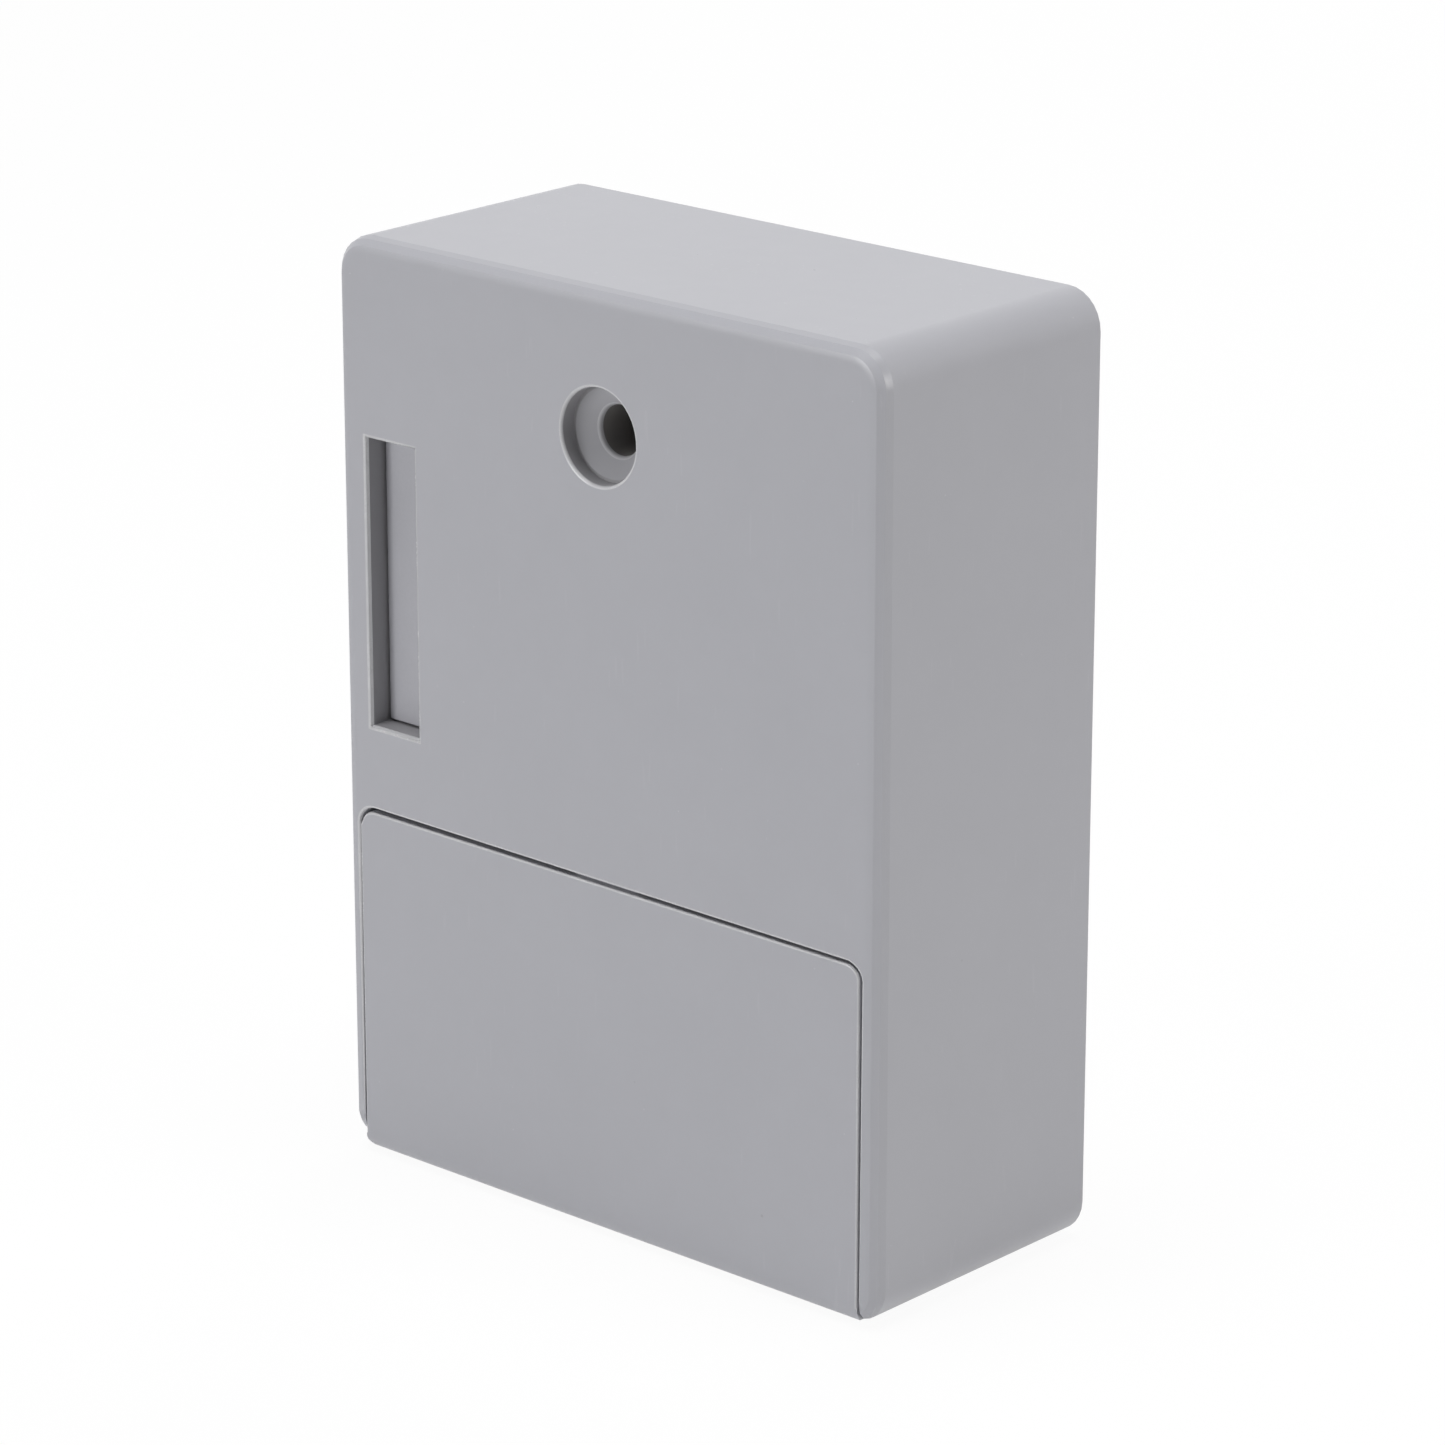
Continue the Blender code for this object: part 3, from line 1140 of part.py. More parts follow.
def build_channel_cap():
    """The plate that closes the channel and carries the springs' back ends."""
    low_x = SLOT_LEFT_X - CHANNEL_WALL
    low_z = CAP_BOSS_ZS[0] - BOSS_RADIUS
    high_z = CAP_BOSS_ZS[1] + BOSS_RADIUS
    outline = rounded_outline(low_x, low_z, CHANNEL_X, high_z, BOSS_RADIUS, BOSS_RADIUS, 4)
    cap = profile_plate("channel_cap", outline, CAP_FRONT_Y, CAP_BACK_Y)
    stub_end = CAP_FRONT_Y - CAP_STUB_LENGTH
    stubs = [
        rod("spring_stub", "Y", stub_end, CAP_FRONT_Y + EMBED, (SLOT_X, z), CAP_STUB_RADIUS, SMALL_STEPS)
        for z in EJECTOR_SPRING_ZS.values()
    ]
    clear = SCREW_SHANK_RADIUS + SCREW_CLEARANCE
    span = CAP_FRONT_Y - OVERRUN, CAP_BACK_Y + OVERRUN
    holes = [rod("cap_hole", "Y", *span, (SLOT_X, z), clear, SMALL_STEPS) for z in CAP_BOSS_ZS]
    join(cap, stubs)
    cut(cap, holes)
    finished(cap, "black_plastic")
    for number, z in enumerate(CAP_BOSS_ZS, start=1):
        screw_at(f"channel_cap_screw_{number}", SLOT_X, z, CAP_BACK_Y)


def bolt_outline():
    """The bolt in x and z: a chamfered nose, a plain head, and a rack along the top."""
    root_z = RACK_PITCH_Z - (DRIVER_ADDENDUM_SHARE + ROOT_CLEARANCE_SHARE) * RACK_MODULE
    tip_z = RACK_PITCH_Z + DRIVEN_ADDENDUM_SHARE * RACK_MODULE
    slope = math.tan(PRESSURE_ANGLE)
    half_pitch = (math.pi * RACK_MODULE / 2 - BACKLASH) / 2
    root_half = half_pitch + slope * (RACK_PITCH_Z - root_z)
    tip_half = half_pitch - slope * (tip_z - RACK_PITCH_Z)
    pitch = math.pi * RACK_MODULE
    points = [
        (NOSE_X, BOLT_BOTTOM_Z + BOLT_NOSE_CHAMFER),
        (NOSE_X + BOLT_NOSE_CHAMFER, BOLT_BOTTOM_Z),
        (BOLT_END_X, BOLT_BOTTOM_Z),
        (BOLT_END_X, tip_z),
        (RACK_END_X, tip_z),
        (RACK_END_X, root_z),
    ]
    first = math.ceil((RACK_X + root_half - GEAR_X) / pitch - 0.5)
    last = math.floor((RACK_END_X - root_half - GEAR_X) / pitch - 0.5)
    for number in range(last, first - 1, -1):
        centre = GEAR_X + pitch * (number + 0.5)
        points += [
            (centre + root_half, root_z),
            (centre + tip_half, tip_z),
            (centre - tip_half, tip_z),
            (centre - root_half, root_z),
        ]
    points += [
        (RACK_X, root_z),
        (RACK_X, BOLT_TOP_Z),
        (NOSE_X + BOLT_NOSE_CHAMFER, BOLT_TOP_Z),
        (NOSE_X, BOLT_TOP_Z - BOLT_NOSE_CHAMFER),
    ]
    return list(reversed(points))


def build_drive():
    """The bolt, the compound gear on its axle, and the motor with its pinion."""
    bolt = profile_plate("locking_bolt", bolt_outline(), BOLT_FRONT_Y, BOLT_BACK_Y)
    finished(bolt, "zinc", origin=(NOSE_X, (BOLT_FRONT_Y + BOLT_BACK_Y) / 2, SLOT_Z))

    down = -math.pi / 2
    large = gear_outline(
        GEAR_X, GEAR_Z, REDUCTION_TEETH, MOTOR_MODULE, DRIVEN_ADDENDUM_SHARE, DRIVER_ADDENDUM_SHARE, MESH_ANGLE
    )
    small = gear_outline(
        GEAR_X, GEAR_Z, RACK_PINION_TEETH, RACK_MODULE, DRIVER_ADDENDUM_SHARE, DRIVEN_ADDENDUM_SHARE, down
    )
    bore = AXLE_RADIUS + AXLE_CLEARANCE
    gear = profile_plate("reduction_gear", large, REDUCTION_FRONT_Y, REDUCTION_BACK_Y)
    small_end = BOLT_BACK_Y - BOLT_CLEARANCE
    step = profile_plate("rack_pinion", small, REDUCTION_BACK_Y - EMBED, small_end)
    join(gear, [step])
    span = REDUCTION_FRONT_Y - OVERRUN, small_end + OVERRUN
    cut(gear, [rod("gear_bore", "Y", *span, (GEAR_X, GEAR_Z), bore, SMALL_STEPS)])
    whole = mesh_of(gear)
    finished(whole, "acetal", origin=(GEAR_X, REDUCTION_FRONT_Y, GEAR_Z))
    axle_span = WALL_BACK_Y + SEAT_GAP, PLATE_BACK_Y
    axle = rod("gear_axle", "Y", *axle_span, (GEAR_X, GEAR_Z), AXLE_RADIUS, SMALL_STEPS)
    finished(axle, "steel")

    centre = (MOTOR_X, MOTOR_Z)
    first_tooth = MESH_ANGLE + math.pi + math.pi / MOTOR_PINION_TEETH
    teeth = gear_outline(
        *centre, MOTOR_PINION_TEETH, MOTOR_MODULE, DRIVER_ADDENDUM_SHARE, DRIVEN_ADDENDUM_SHARE, first_tooth
    )
    hole = circle_outline(*centre, MOTOR_SHAFT_RADIUS + MOTOR_SHAFT_CLEARANCE, SMALL_STEPS)
    pinion = ring_plate("motor_pinion", teeth, hole, REDUCTION_FRONT_Y, REDUCTION_BACK_Y)
    finished(pinion, "brass", origin=(MOTOR_X, REDUCTION_FRONT_Y, MOTOR_Z))
    shaft_end = MOTOR_FRONT_Y - MOTOR_NOSE_LENGTH + MOTOR_SHAFT_DEPTH - SEAT_GAP
    shaft_start = REDUCTION_FRONT_Y - SEAT_GAP
    shaft = rod("motor_shaft", "Y", shaft_start, shaft_end, centre, MOTOR_SHAFT_RADIUS, SMALL_STEPS)
    finished(shaft, "steel", origin=(MOTOR_X, shaft_start, MOTOR_Z))


def build_motor():
    """The motor's can and its end cap with two solder tabs."""
    centre = (MOTOR_X, MOTOR_Z)
    can = rod("motor_can", "Y", MOTOR_FRONT_Y, MOTOR_BACK_Y, centre, MOTOR_RADIUS)
    nose_start = MOTOR_FRONT_Y - MOTOR_NOSE_LENGTH
    nose = rod("motor_nose", "Y", nose_start, MOTOR_FRONT_Y + EMBED, centre, MOTOR_NOSE_RADIUS, SMALL_STEPS)
    bore_radius = MOTOR_SHAFT_RADIUS + MOTOR_SHAFT_CLEARANCE
    span = nose_start - OVERRUN, nose_start + MOTOR_SHAFT_DEPTH
    join(can, [nose])
    cut(can, [rod("shaft_bore", "Y", *span, centre, bore_radius, SMALL_STEPS)])
    finished(can, "steel")
    cap_start = MOTOR_BACK_Y + SEAT_GAP
    cap = rod("motor_end_cap", "Y", cap_start, MOTOR_CAP_BACK_Y, centre, MOTOR_RADIUS - MOTOR_CAP_INSET)
    tabs = []
    for side in (-1, 1):
        x = MOTOR_X + side * MOTOR_RADIUS / 2
        low = (x - MOTOR_TAB_THICKNESS / 2, MOTOR_CAP_BACK_Y - EMBED, MOTOR_Z - MOTOR_TAB_WIDTH / 2)
        high = (x + MOTOR_TAB_THICKNESS / 2, MOTOR_TAB_Y, MOTOR_Z + MOTOR_TAB_WIDTH / 2)
        tabs.append(box("motor_tab", low, high))
    join(cap, tabs)
    finished(cap, "black_plastic")


def build_mechanism_cover():
    """The plate behind the gears, with the sleeve that holds the motor."""
    outline = rounded_outline(
        PLATE_LOW_X, PLATE_BOTTOM_Z, PLATE_HIGH_X, PLATE_TOP_Z, BOSS_RADIUS, BOSS_RADIUS, 4
    )
    plate = profile_plate("mechanism_cover", outline, PLATE_FRONT_Y, PLATE_BACK_Y)
    centre = (MOTOR_X, MOTOR_Z)
    sleeve_end = PLATE_BACK_Y + SLEEVE_LENGTH
    sleeve = rod("motor_sleeve", "Y", PLATE_BACK_Y - EMBED, sleeve_end, centre, SLEEVE_RADIUS)
    join(plate, [sleeve])
    through = PLATE_FRONT_Y - OVERRUN, PLATE_BACK_Y + OVERRUN
    nose_hole = MOTOR_NOSE_RADIUS + SEAT_GAP
    clear = SCREW_SHANK_RADIUS + SCREW_CLEARANCE
    axle_hole = AXLE_RADIUS + AXLE_CLEARANCE
    holes = [
        rod("sleeve_bore", "Y", PLATE_BACK_Y, sleeve_end + OVERRUN, centre, SLEEVE_INNER_RADIUS),
        rod("nose_hole", "Y", *through, centre, nose_hole, SMALL_STEPS),
        rod("axle_hole", "Y", *through, (GEAR_X, GEAR_Z), axle_hole, SMALL_STEPS),
    ]
    holes += [rod("screw_hole", "Y", *through, place, clear, SMALL_STEPS) for place in MECHANISM_SCREWS]
    cut(plate, holes)
    finished(plate, "black_plastic")
    for number, (x, z) in enumerate(MECHANISM_SCREWS, start=1):
        screw_at(f"mechanism_screw_{number}", x, z, PLATE_BACK_Y)


def build_electronics():
    """The main board behind the bay with its components, and the antenna at the back."""
    half = BOARD_HALF_WIDTH
    outline = rounded_outline(-half, BOARD_BOTTOM, half, BOARD_TOP, BOARD_CORNER_RADIUS, BOARD_CORNER_RADIUS, 2)
    board = profile_plate("main_board", outline, BOARD_FRONT_Y, BOARD_BACK_Y)
    clear = SCREW_SHANK_RADIUS + SCREW_CLEARANCE
    span = BOARD_FRONT_Y - OVERRUN, BOARD_BACK_Y + OVERRUN
    cut(board, [rod("board_hole", "Y", *span, place, clear, SMALL_STEPS) for place in BOARD_SCREWS])
    finished(board, "board_green")
    for number, (x, z) in enumerate(BOARD_SCREWS, start=1):
        screw_at(f"board_screw_{number}", x, z, BOARD_BACK_Y)

    back = BOARD_BACK_Y + BOND_GAP
    middle_z = (BOARD_BOTTOM + BOARD_TOP) / 2
    chip_x = -BOARD_HALF_WIDTH / 4
    chip = box(
        "controller_chip",
        (chip_x - CHIP_SIZE / 2, back, middle_z - CHIP_SIZE / 2),
        (chip_x + CHIP_SIZE / 2, back + CHIP_THICKNESS, middle_z + CHIP_SIZE / 2),
    )
    finished(chip, "black_plastic")
    capacitor_x = chip_x - CHIP_SIZE / 2 - 2.5 * CAPACITOR_RADIUS
    capacitor_z = BOARD_BOTTOM + 2 * CAPACITOR_RADIUS
    capacitor = rod(
        "capacitor", "Y", back, back + CAPACITOR_LENGTH, (capacitor_x, capacitor_z), CAPACITOR_RADIUS
    )
    finished(capacitor, "zinc")
    place = (BUZZER_X, middle_z - BOARD_CORNER_RADIUS)
    buzzer = rod("buzzer", "Y", back, back + BUZZER_HEIGHT, place, BUZZER_RADIUS)
    port_span = back + BUZZER_HEIGHT - BUZZER_PORT_DEPTH, back + BUZZER_HEIGHT + OVERRUN
    cut(buzzer, [rod("buzzer_port", "Y", *port_span, place, BUZZER_PORT_RADIUS, SMALL_STEPS)])
    finished(buzzer, "black_plastic")
    for name, (x, z) in CONNECTORS.items():
        build_connector(name, x, z, back)
    build_antenna()


def build_connector(name, x, z, back):
    """A two-way board connector, a shallow tray open towards the back."""
    half_x = CONNECTOR_WIDTH / 2
    half_z = CONNECTOR_HEIGHT / 2
    body = box(name, (x - half_x, back, z - half_z), (x + half_x, back + CONNECTOR_DEPTH, z + half_z))
    mouth = box(
        "connector_mouth",
        (x - half_x + CONNECTOR_WALL, back + CONNECTOR_FLOOR, z - half_z + CONNECTOR_WALL),
        (x + half_x - CONNECTOR_WALL, back + CONNECTOR_DEPTH + OVERRUN, z + half_z - CONNECTOR_WALL),
    )
    cut(body, [mouth])
    finished(body, "connector_white")


def build_antenna():
    """The reader's antenna: a thin board against the back cover with a wound coil."""
    half = ANTENNA_WIDTH / 2
    top = ANTENNA_TOP
    back = COVER_FRONT_Y - SEAT_GAP
    front = back - ANTENNA_BOARD_THICKNESS
    radius = ANTENNA_MARGIN
    outline = rounded_outline(-half, ANTENNA_BOTTOM, half, top, radius, radius, 3)
    finished(profile_plate("antenna_board", outline, front, back), "board_green")
    coil_back = front - BOND_GAP
    coil_front = coil_back - ANTENNA_COIL_THICKNESS
    low = ANTENNA_BOTTOM + ANTENNA_PAD_STRIP
    outer = rounded_outline(
        -half + ANTENNA_MARGIN, low, half - ANTENNA_MARGIN, top - ANTENNA_MARGIN, radius, radius, 4
    )
    band = ANTENNA_MARGIN + ANTENNA_COIL_WIDTH
    inner = rounded_outline(
        -half + band,
        low + ANTENNA_COIL_WIDTH,
        half - band,
        top - band,
        radius / 2,
        radius / 2,
        4,
    )
    finished(ring_plate("antenna_coil", outer, inner, coil_front, coil_back), "copper")


BUZZER_X = BOARD_HALF_WIDTH / 4
CONNECTOR_Z = BOARD_TOP - CONNECTOR_HEIGHT
BATTERY_CONNECTOR_REACH = SCREW_HEAD_RADIUS + BATTERY_CONNECTOR_GAP + CONNECTOR_WIDTH / 2
BATTERY_CONNECTOR_X = BOARD_HALF_WIDTH - BOARD_SCREW_MARGIN - BATTERY_CONNECTOR_REACH
CONNECTORS = {
    "battery_connector": (BATTERY_CONNECTOR_X, BOARD_BOTTOM + CONNECTOR_HEIGHT),
    "motor_connector": (-CONNECTOR_WIDTH, CONNECTOR_Z),
    "antenna_connector": (BATTERY_CONNECTOR_X, CONNECTOR_Z),
}


def build_setup_button():
    """The setup switch on the board and the button that reaches into the bay."""
    centre = (SETUP_X, SETUP_Z)
    body_back = BOARD_FRONT_Y - BOND_GAP
    body_front = body_back - SETUP_SWITCH_DEPTH
    half = SETUP_SWITCH_SIZE / 2
    body = box(
        "setup_switch",
        (SETUP_X - half, body_front, SETUP_Z - half),
        (SETUP_X + half, body_back, SETUP_Z + half),
    )
    bore_radius = SETUP_BUTTON_RADIUS + SETUP_CLEARANCE
    bore = rod(
        "setup_bore", "Y", body_front - OVERRUN, body_front + SETUP_SWITCH_BORE_DEPTH, centre, bore_radius
    )
    cut(body, [bore])
    finished(body, "black_plastic")
    tip = BAY_FLOOR_FRONT_Y - SETUP_BUTTON_PROUD
    stem_end = body_front + SETUP_SWITCH_BORE_DEPTH - SETUP_TRAVEL - SEAT_GAP
    button = rod("setup_button", "Y", tip, stem_end, centre, SETUP_BUTTON_RADIUS)
    collar_start = BAY_FLOOR_BACK_Y + SEAT_GAP
    collar_end = collar_start + SETUP_COLLAR_THICKNESS
    collar = rod("setup_collar", "Y", collar_start, collar_end, centre, SETUP_COLLAR_RADIUS)
    join(button, [collar])
    finished(mesh_of(button), "black_plastic", origin=(SETUP_X, tip, SETUP_Z))


def build_hook_switch():
    """The switch beside the channel and its plunger, which rides the ejector's ramp."""
    body = box(
        "hook_switch",
        (SWITCH_X, SWITCH_LOW_Y, SWITCH_Z - HOOK_SWITCH_HEIGHT / 2),
        (SWITCH_END_X, SWITCH_HIGH_Y, SWITCH_Z + HOOK_SWITCH_HEIGHT / 2),
    )
    across = (PLUNGER_Y, SWITCH_Z)
    radius = PLUNGER_RADIUS + PLUNGER_CLEARANCE
    span = SWITCH_X - OVERRUN, SWITCH_X + PLUNGER_BORE_DEPTH
    cut(body, [rod("plunger_bore", "X", *span, across, radius, SMALL_STEPS)])
    finished(body, "black_plastic")
    end = SWITCH_X + PLUNGER_IN_SWITCH
    plunger = rod("hook_switch_plunger", "X", PLUNGER_TIP_X, end, across, PLUNGER_RADIUS, SMALL_STEPS)
    finished(plunger, "connector_white", origin=(PLUNGER_TIP_X, *across))


def build_leads():
    """The leads from the battery contacts, the motor, the antenna and the hook switch."""
    mouth_y = BOARD_BACK_Y + BOND_GAP + CONNECTOR_FLOOR + LEAD_END_GAP
    clear_y = BOARD_BACK_Y + BOND_GAP + CONNECTOR_DEPTH + 2 * CONNECTOR_WALL
    battery_x, battery_z = CONNECTORS["battery_connector"]
    motor_x, motor_z = CONNECTORS["motor_connector"]
    antenna_x, antenna_z = CONNECTORS["antenna_connector"]
    bend = CONNECTOR_DEPTH
    tab_y = CELL_Y + CELL_RADIUS
    under_z = BOARD_BOTTOM - 3 * LEAD_RADIUS
    red_x, red_z = BATTERY_TABS["red"]
    black_x, black_z = BATTERY_TABS["black"]
    over_z = BOARD_TOP + 3 * LEAD_RADIUS
    wire(
        "battery_lead_red",
        smooth_route(
            (
                (red_x, tab_y, red_z),
                (red_x, BAY_FLOOR_BACK_Y, red_z),
                (red_x, BAY_FLOOR_BACK_Y + bend / 2, red_z),
                (red_x - LEAD_RADIUS, BAY_FLOOR_BACK_Y + bend, under_z - 3 * LEAD_RADIUS),
                (battery_x + bend / 2, BOARD_FRONT_Y, under_z),
                (battery_x + LEAD_RADIUS, BOARD_BACK_Y + bend, under_z),
                (battery_x + 2 * LEAD_RADIUS, clear_y + bend / 2, battery_z - bend / 4),
                (battery_x + 2 * LEAD_RADIUS, clear_y, battery_z),
                (battery_x + 2 * LEAD_RADIUS, mouth_y, battery_z),
            )
        ),
        LEAD_RADIUS,
        "lead_red",
    )
    wire(
        "battery_lead_black",
        smooth_route(
            (
                (black_x, tab_y, black_z),
                (black_x, BAY_FLOOR_BACK_Y, black_z),
                (black_x, BAY_FLOOR_BACK_Y + bend / 3, black_z),
                (black_x - bend / 2, BOARD_FRONT_Y - bend / 2, over_z),
                (black_x - bend, BOARD_FRONT_Y + bend / 2, over_z + LEAD_RADIUS),
                (battery_x - bend, clear_y + bend / 2, BOARD_TOP - bend / 2),
                (battery_x - bend / 2, clear_y + bend / 2, battery_z + bend),
                (battery_x - 2 * LEAD_RADIUS, clear_y, battery_z),
                (battery_x - 2 * LEAD_RADIUS, mouth_y, battery_z),
            )
        ),
        LEAD_RADIUS,
        "lead_black",
    )
    wire(
        "motor_lead",
        smooth_route(
            (
                (motor_x, mouth_y, motor_z),
                (motor_x, clear_y, motor_z),
                (motor_x, clear_y + bend / 2, motor_z + bend),
                (MOTOR_X, MOTOR_CAP_BACK_Y + bend / 2, MOTOR_Z - 2 * MOTOR_RADIUS),
                (MOTOR_X, MOTOR_CAP_BACK_Y + bend / 2, MOTOR_Z - LEAD_RADIUS),
                (MOTOR_X, MOTOR_CAP_BACK_Y + LEAD_END_GAP, MOTOR_Z),
            )
        ),
        LEAD_RADIUS,
        "lead_red",
    )
    pad_y = COVER_FRONT_Y - SEAT_GAP - ANTENNA_BOARD_THICKNESS - LEAD_END_GAP
    pad_z = ANTENNA_BOTTOM + ANTENNA_PAD_STRIP / 2
    wire(
        "antenna_lead",
        smooth_route(
            (
                (antenna_x, mouth_y, antenna_z),
                (antenna_x, clear_y, antenna_z),
                (antenna_x - bend / 4, clear_y + bend / 3, antenna_z + bend),
                (antenna_x - bend / 2, pad_y - bend / 3, pad_z - LEAD_RADIUS),
                (antenna_x - bend / 2, pad_y, pad_z),
            )
        ),
        LEAD_RADIUS,
        "lead_black",
    )
    switch_y = SWITCH_HIGH_Y + LEAD_RADIUS + LEAD_END_GAP
    wire(
        "hook_switch_lead",
        smooth_route(
            (
                (SWITCH_END_X - LEAD_RADIUS, SWITCH_HIGH_Y + LEAD_END_GAP, SWITCH_Z),
                (SWITCH_END_X, switch_y + LEAD_RADIUS, SWITCH_Z - LEAD_RADIUS),
                (SWITCH_END_X + bend / 2, switch_y + bend / 4, SWITCH_Z - bend),
                (SWITCH_END_X + bend / 2, BOARD_FRONT_Y - bend, BOARD_TOP),
                (SWITCH_END_X + bend / 2, BOARD_FRONT_Y - bend / 2, BOARD_TOP - bend / 2),
                (SWITCH_END_X + bend / 2, BOARD_FRONT_Y - LEAD_END_GAP, BOARD_TOP - bend / 2),
            )
        ),
        LEAD_RADIUS,
        "lead_black",
    )


build_cells()
build_leads()
build_ejector()
build_drive()
build_door()
build_setup_button()
build_electronics()
build_contacts()
build_channel_cap()
build_motor()
build_mechanism_cover()
build_hook_switch()
build_back_cover()
build_housing()
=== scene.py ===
"""Dress the hidden cabinet lock: moulded case, battery bay, drive and boards, on a pale floor."""

import logging
import math
import random
from collections.abc import Callable, Sequence
from dataclasses import dataclass, field
from enum import Enum

import bmesh
import bpy
from mathutils import Euler, Matrix, Vector


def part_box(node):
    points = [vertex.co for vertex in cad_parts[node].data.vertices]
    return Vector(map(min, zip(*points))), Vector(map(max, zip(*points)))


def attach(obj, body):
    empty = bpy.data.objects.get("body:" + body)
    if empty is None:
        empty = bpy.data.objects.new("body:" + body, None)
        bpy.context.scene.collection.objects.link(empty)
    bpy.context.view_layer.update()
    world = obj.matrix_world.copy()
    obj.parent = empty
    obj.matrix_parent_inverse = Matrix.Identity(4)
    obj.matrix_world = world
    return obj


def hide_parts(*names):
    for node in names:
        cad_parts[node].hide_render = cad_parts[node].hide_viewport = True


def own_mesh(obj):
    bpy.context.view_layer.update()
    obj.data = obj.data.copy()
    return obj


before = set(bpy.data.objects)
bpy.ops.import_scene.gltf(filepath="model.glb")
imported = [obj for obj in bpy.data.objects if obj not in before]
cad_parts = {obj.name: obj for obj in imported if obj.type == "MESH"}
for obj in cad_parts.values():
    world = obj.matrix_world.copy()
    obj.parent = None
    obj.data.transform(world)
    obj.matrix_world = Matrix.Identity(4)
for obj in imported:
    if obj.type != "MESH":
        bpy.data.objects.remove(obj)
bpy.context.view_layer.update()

NEAR = 0.00001  # metres: places closer than this are the same
FINE = 0.0000005  # metres: corners of grown pieces closer than this are joined
WELD = 0.000002  # metres: corners closer than this are joined
EQUAL_AREA = 0.0000001  # square metres: faces whose areas differ by less weigh the same
TO_MM = 1000
QUARTER = math.radians(90)
FLAT = math.radians(0.4)  # faces that meet at less than this lie in one plane
SHARP = 0.6  # radians: edges steeper than this can be rounded
Colour = tuple[float, float, float]
Point = tuple[float, float, float]
Point2 = tuple[float, float]
Profile = tuple[Point2, ...]
Test = Callable[[bmesh.types.BMEdge], bool]
WHITE: Colour = (1, 1, 1)

log = logging.getLogger("cabinet_lock")


class Body(Enum):
    """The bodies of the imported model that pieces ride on."""

    LOCK = "lock_body"
    DOOR = "battery_flap"
    EJECTOR = "ejector"
    BOLT = "bolt"
    GEAR = "compound_gear"
    ROTOR = "motor_rotor"
    BUTTON = "setup_key"
    PLUNGER = "switch_plunger"


class Slot(Enum):
    """The material slots of the record."""

    HOUSING = "housing_grey"
    EJECTOR = "ejector_grey"
    STEEL = "steel"
    ZINC = "zinc"
    BRASS = "brass"
    ACETAL = "acetal"
    BOARD = "board_green"
    BLACK = "black_plastic"
    WHITE = "connector_white"
    COPPER = "copper"
    JACKET = "cell_jacket"
    RED = "lead_red"
    LEAD_BLACK = "lead_black"


class Cut(Enum):
    """What one solid does to another."""

    ADD = "UNION"
    TAKE = "DIFFERENCE"


class Signal:
    """One output in a node tree, which takes part in plain arithmetic."""

    def __init__(self, owner: "NodeTree", socket: bpy.types.NodeSocket) -> None:
        """Wrap an output.

        Args:
            owner: The tree that the output belongs to.
            socket: The output that carries the value.
        """
        self.owner = owner
        self.socket = socket

    def maths(self, operation: str, *values: "Signal | float") -> "Signal":
        """Add one Math node.

        Args:
            operation: The node's operation.
            values: Its inputs, in order.

        Returns:
            The node's result.
        """
        return self.owner.signal("ShaderNodeMath", {"operation": operation}, dict(enumerate(values)))

    def __add__(self, other: "Signal | float") -> "Signal":
        """Return the sum."""
        return self.maths("ADD", self, other)

    def __radd__(self, other: float) -> "Signal":
        """Return the sum with a number on the left."""
        return self.maths("ADD", other, self)

    def __sub__(self, other: "Signal | float") -> "Signal":
        """Return the difference."""
        return self.maths("SUBTRACT", self, other)

    def __rsub__(self, other: float) -> "Signal":
        """Return a number less this value."""
        return self.maths("SUBTRACT", other, self)

    def __mul__(self, other: "Signal | float") -> "Signal":
        """Return the product."""
        return self.maths("MULTIPLY", self, other)

    def __rmul__(self, other: float) -> "Signal":
        """Return the product with a number on the left."""
        return self.maths("MULTIPLY", other, self)

    def __truediv__(self, other: "Signal | float") -> "Signal":
        """Return the quotient."""
        return self.maths("DIVIDE", self, other)

    def __rtruediv__(self, other: float) -> "Signal":
        """Return a number over this value."""
        return self.maths("DIVIDE", other, self)

    def __abs__(self) -> "Signal":
        """Return the size of the value without its sign."""
        return self.maths("ABSOLUTE", self)

    def most(self, other: "Signal | float") -> "Signal":
        """Return the larger of two values."""
        return self.maths("MAXIMUM", self, other)

    def above(self, other: "Signal | float") -> "Signal":
        """Return 1 where this value is larger, and else 0."""
        return self.maths("GREATER_THAN", self, other)

    def wave(self) -> "Signal":
        """Return the sine."""
        return self.maths("SINE", self)

    def floor(self) -> "Signal":
        """Return the whole number below."""
        return self.maths("FLOOR", self)

    def fraction(self) -> "Signal":
        """Return what follows the decimal point."""
        return self.maths("FRACT", self)

    def ease(self, low: float, high: float) -> "Signal":
        """Rise smoothly from 0 to 1.

        Args:
            low: The value that gives 0.
            high: The value that gives 1.

        Returns:
            The eased value.
        """
        settings = {"interpolation_type": "SMOOTHSTEP"}
        sockets = {"Value": self, "From Min": low, "From Max": high}
        return self.owner.signal("ShaderNodeMapRange", settings, sockets)


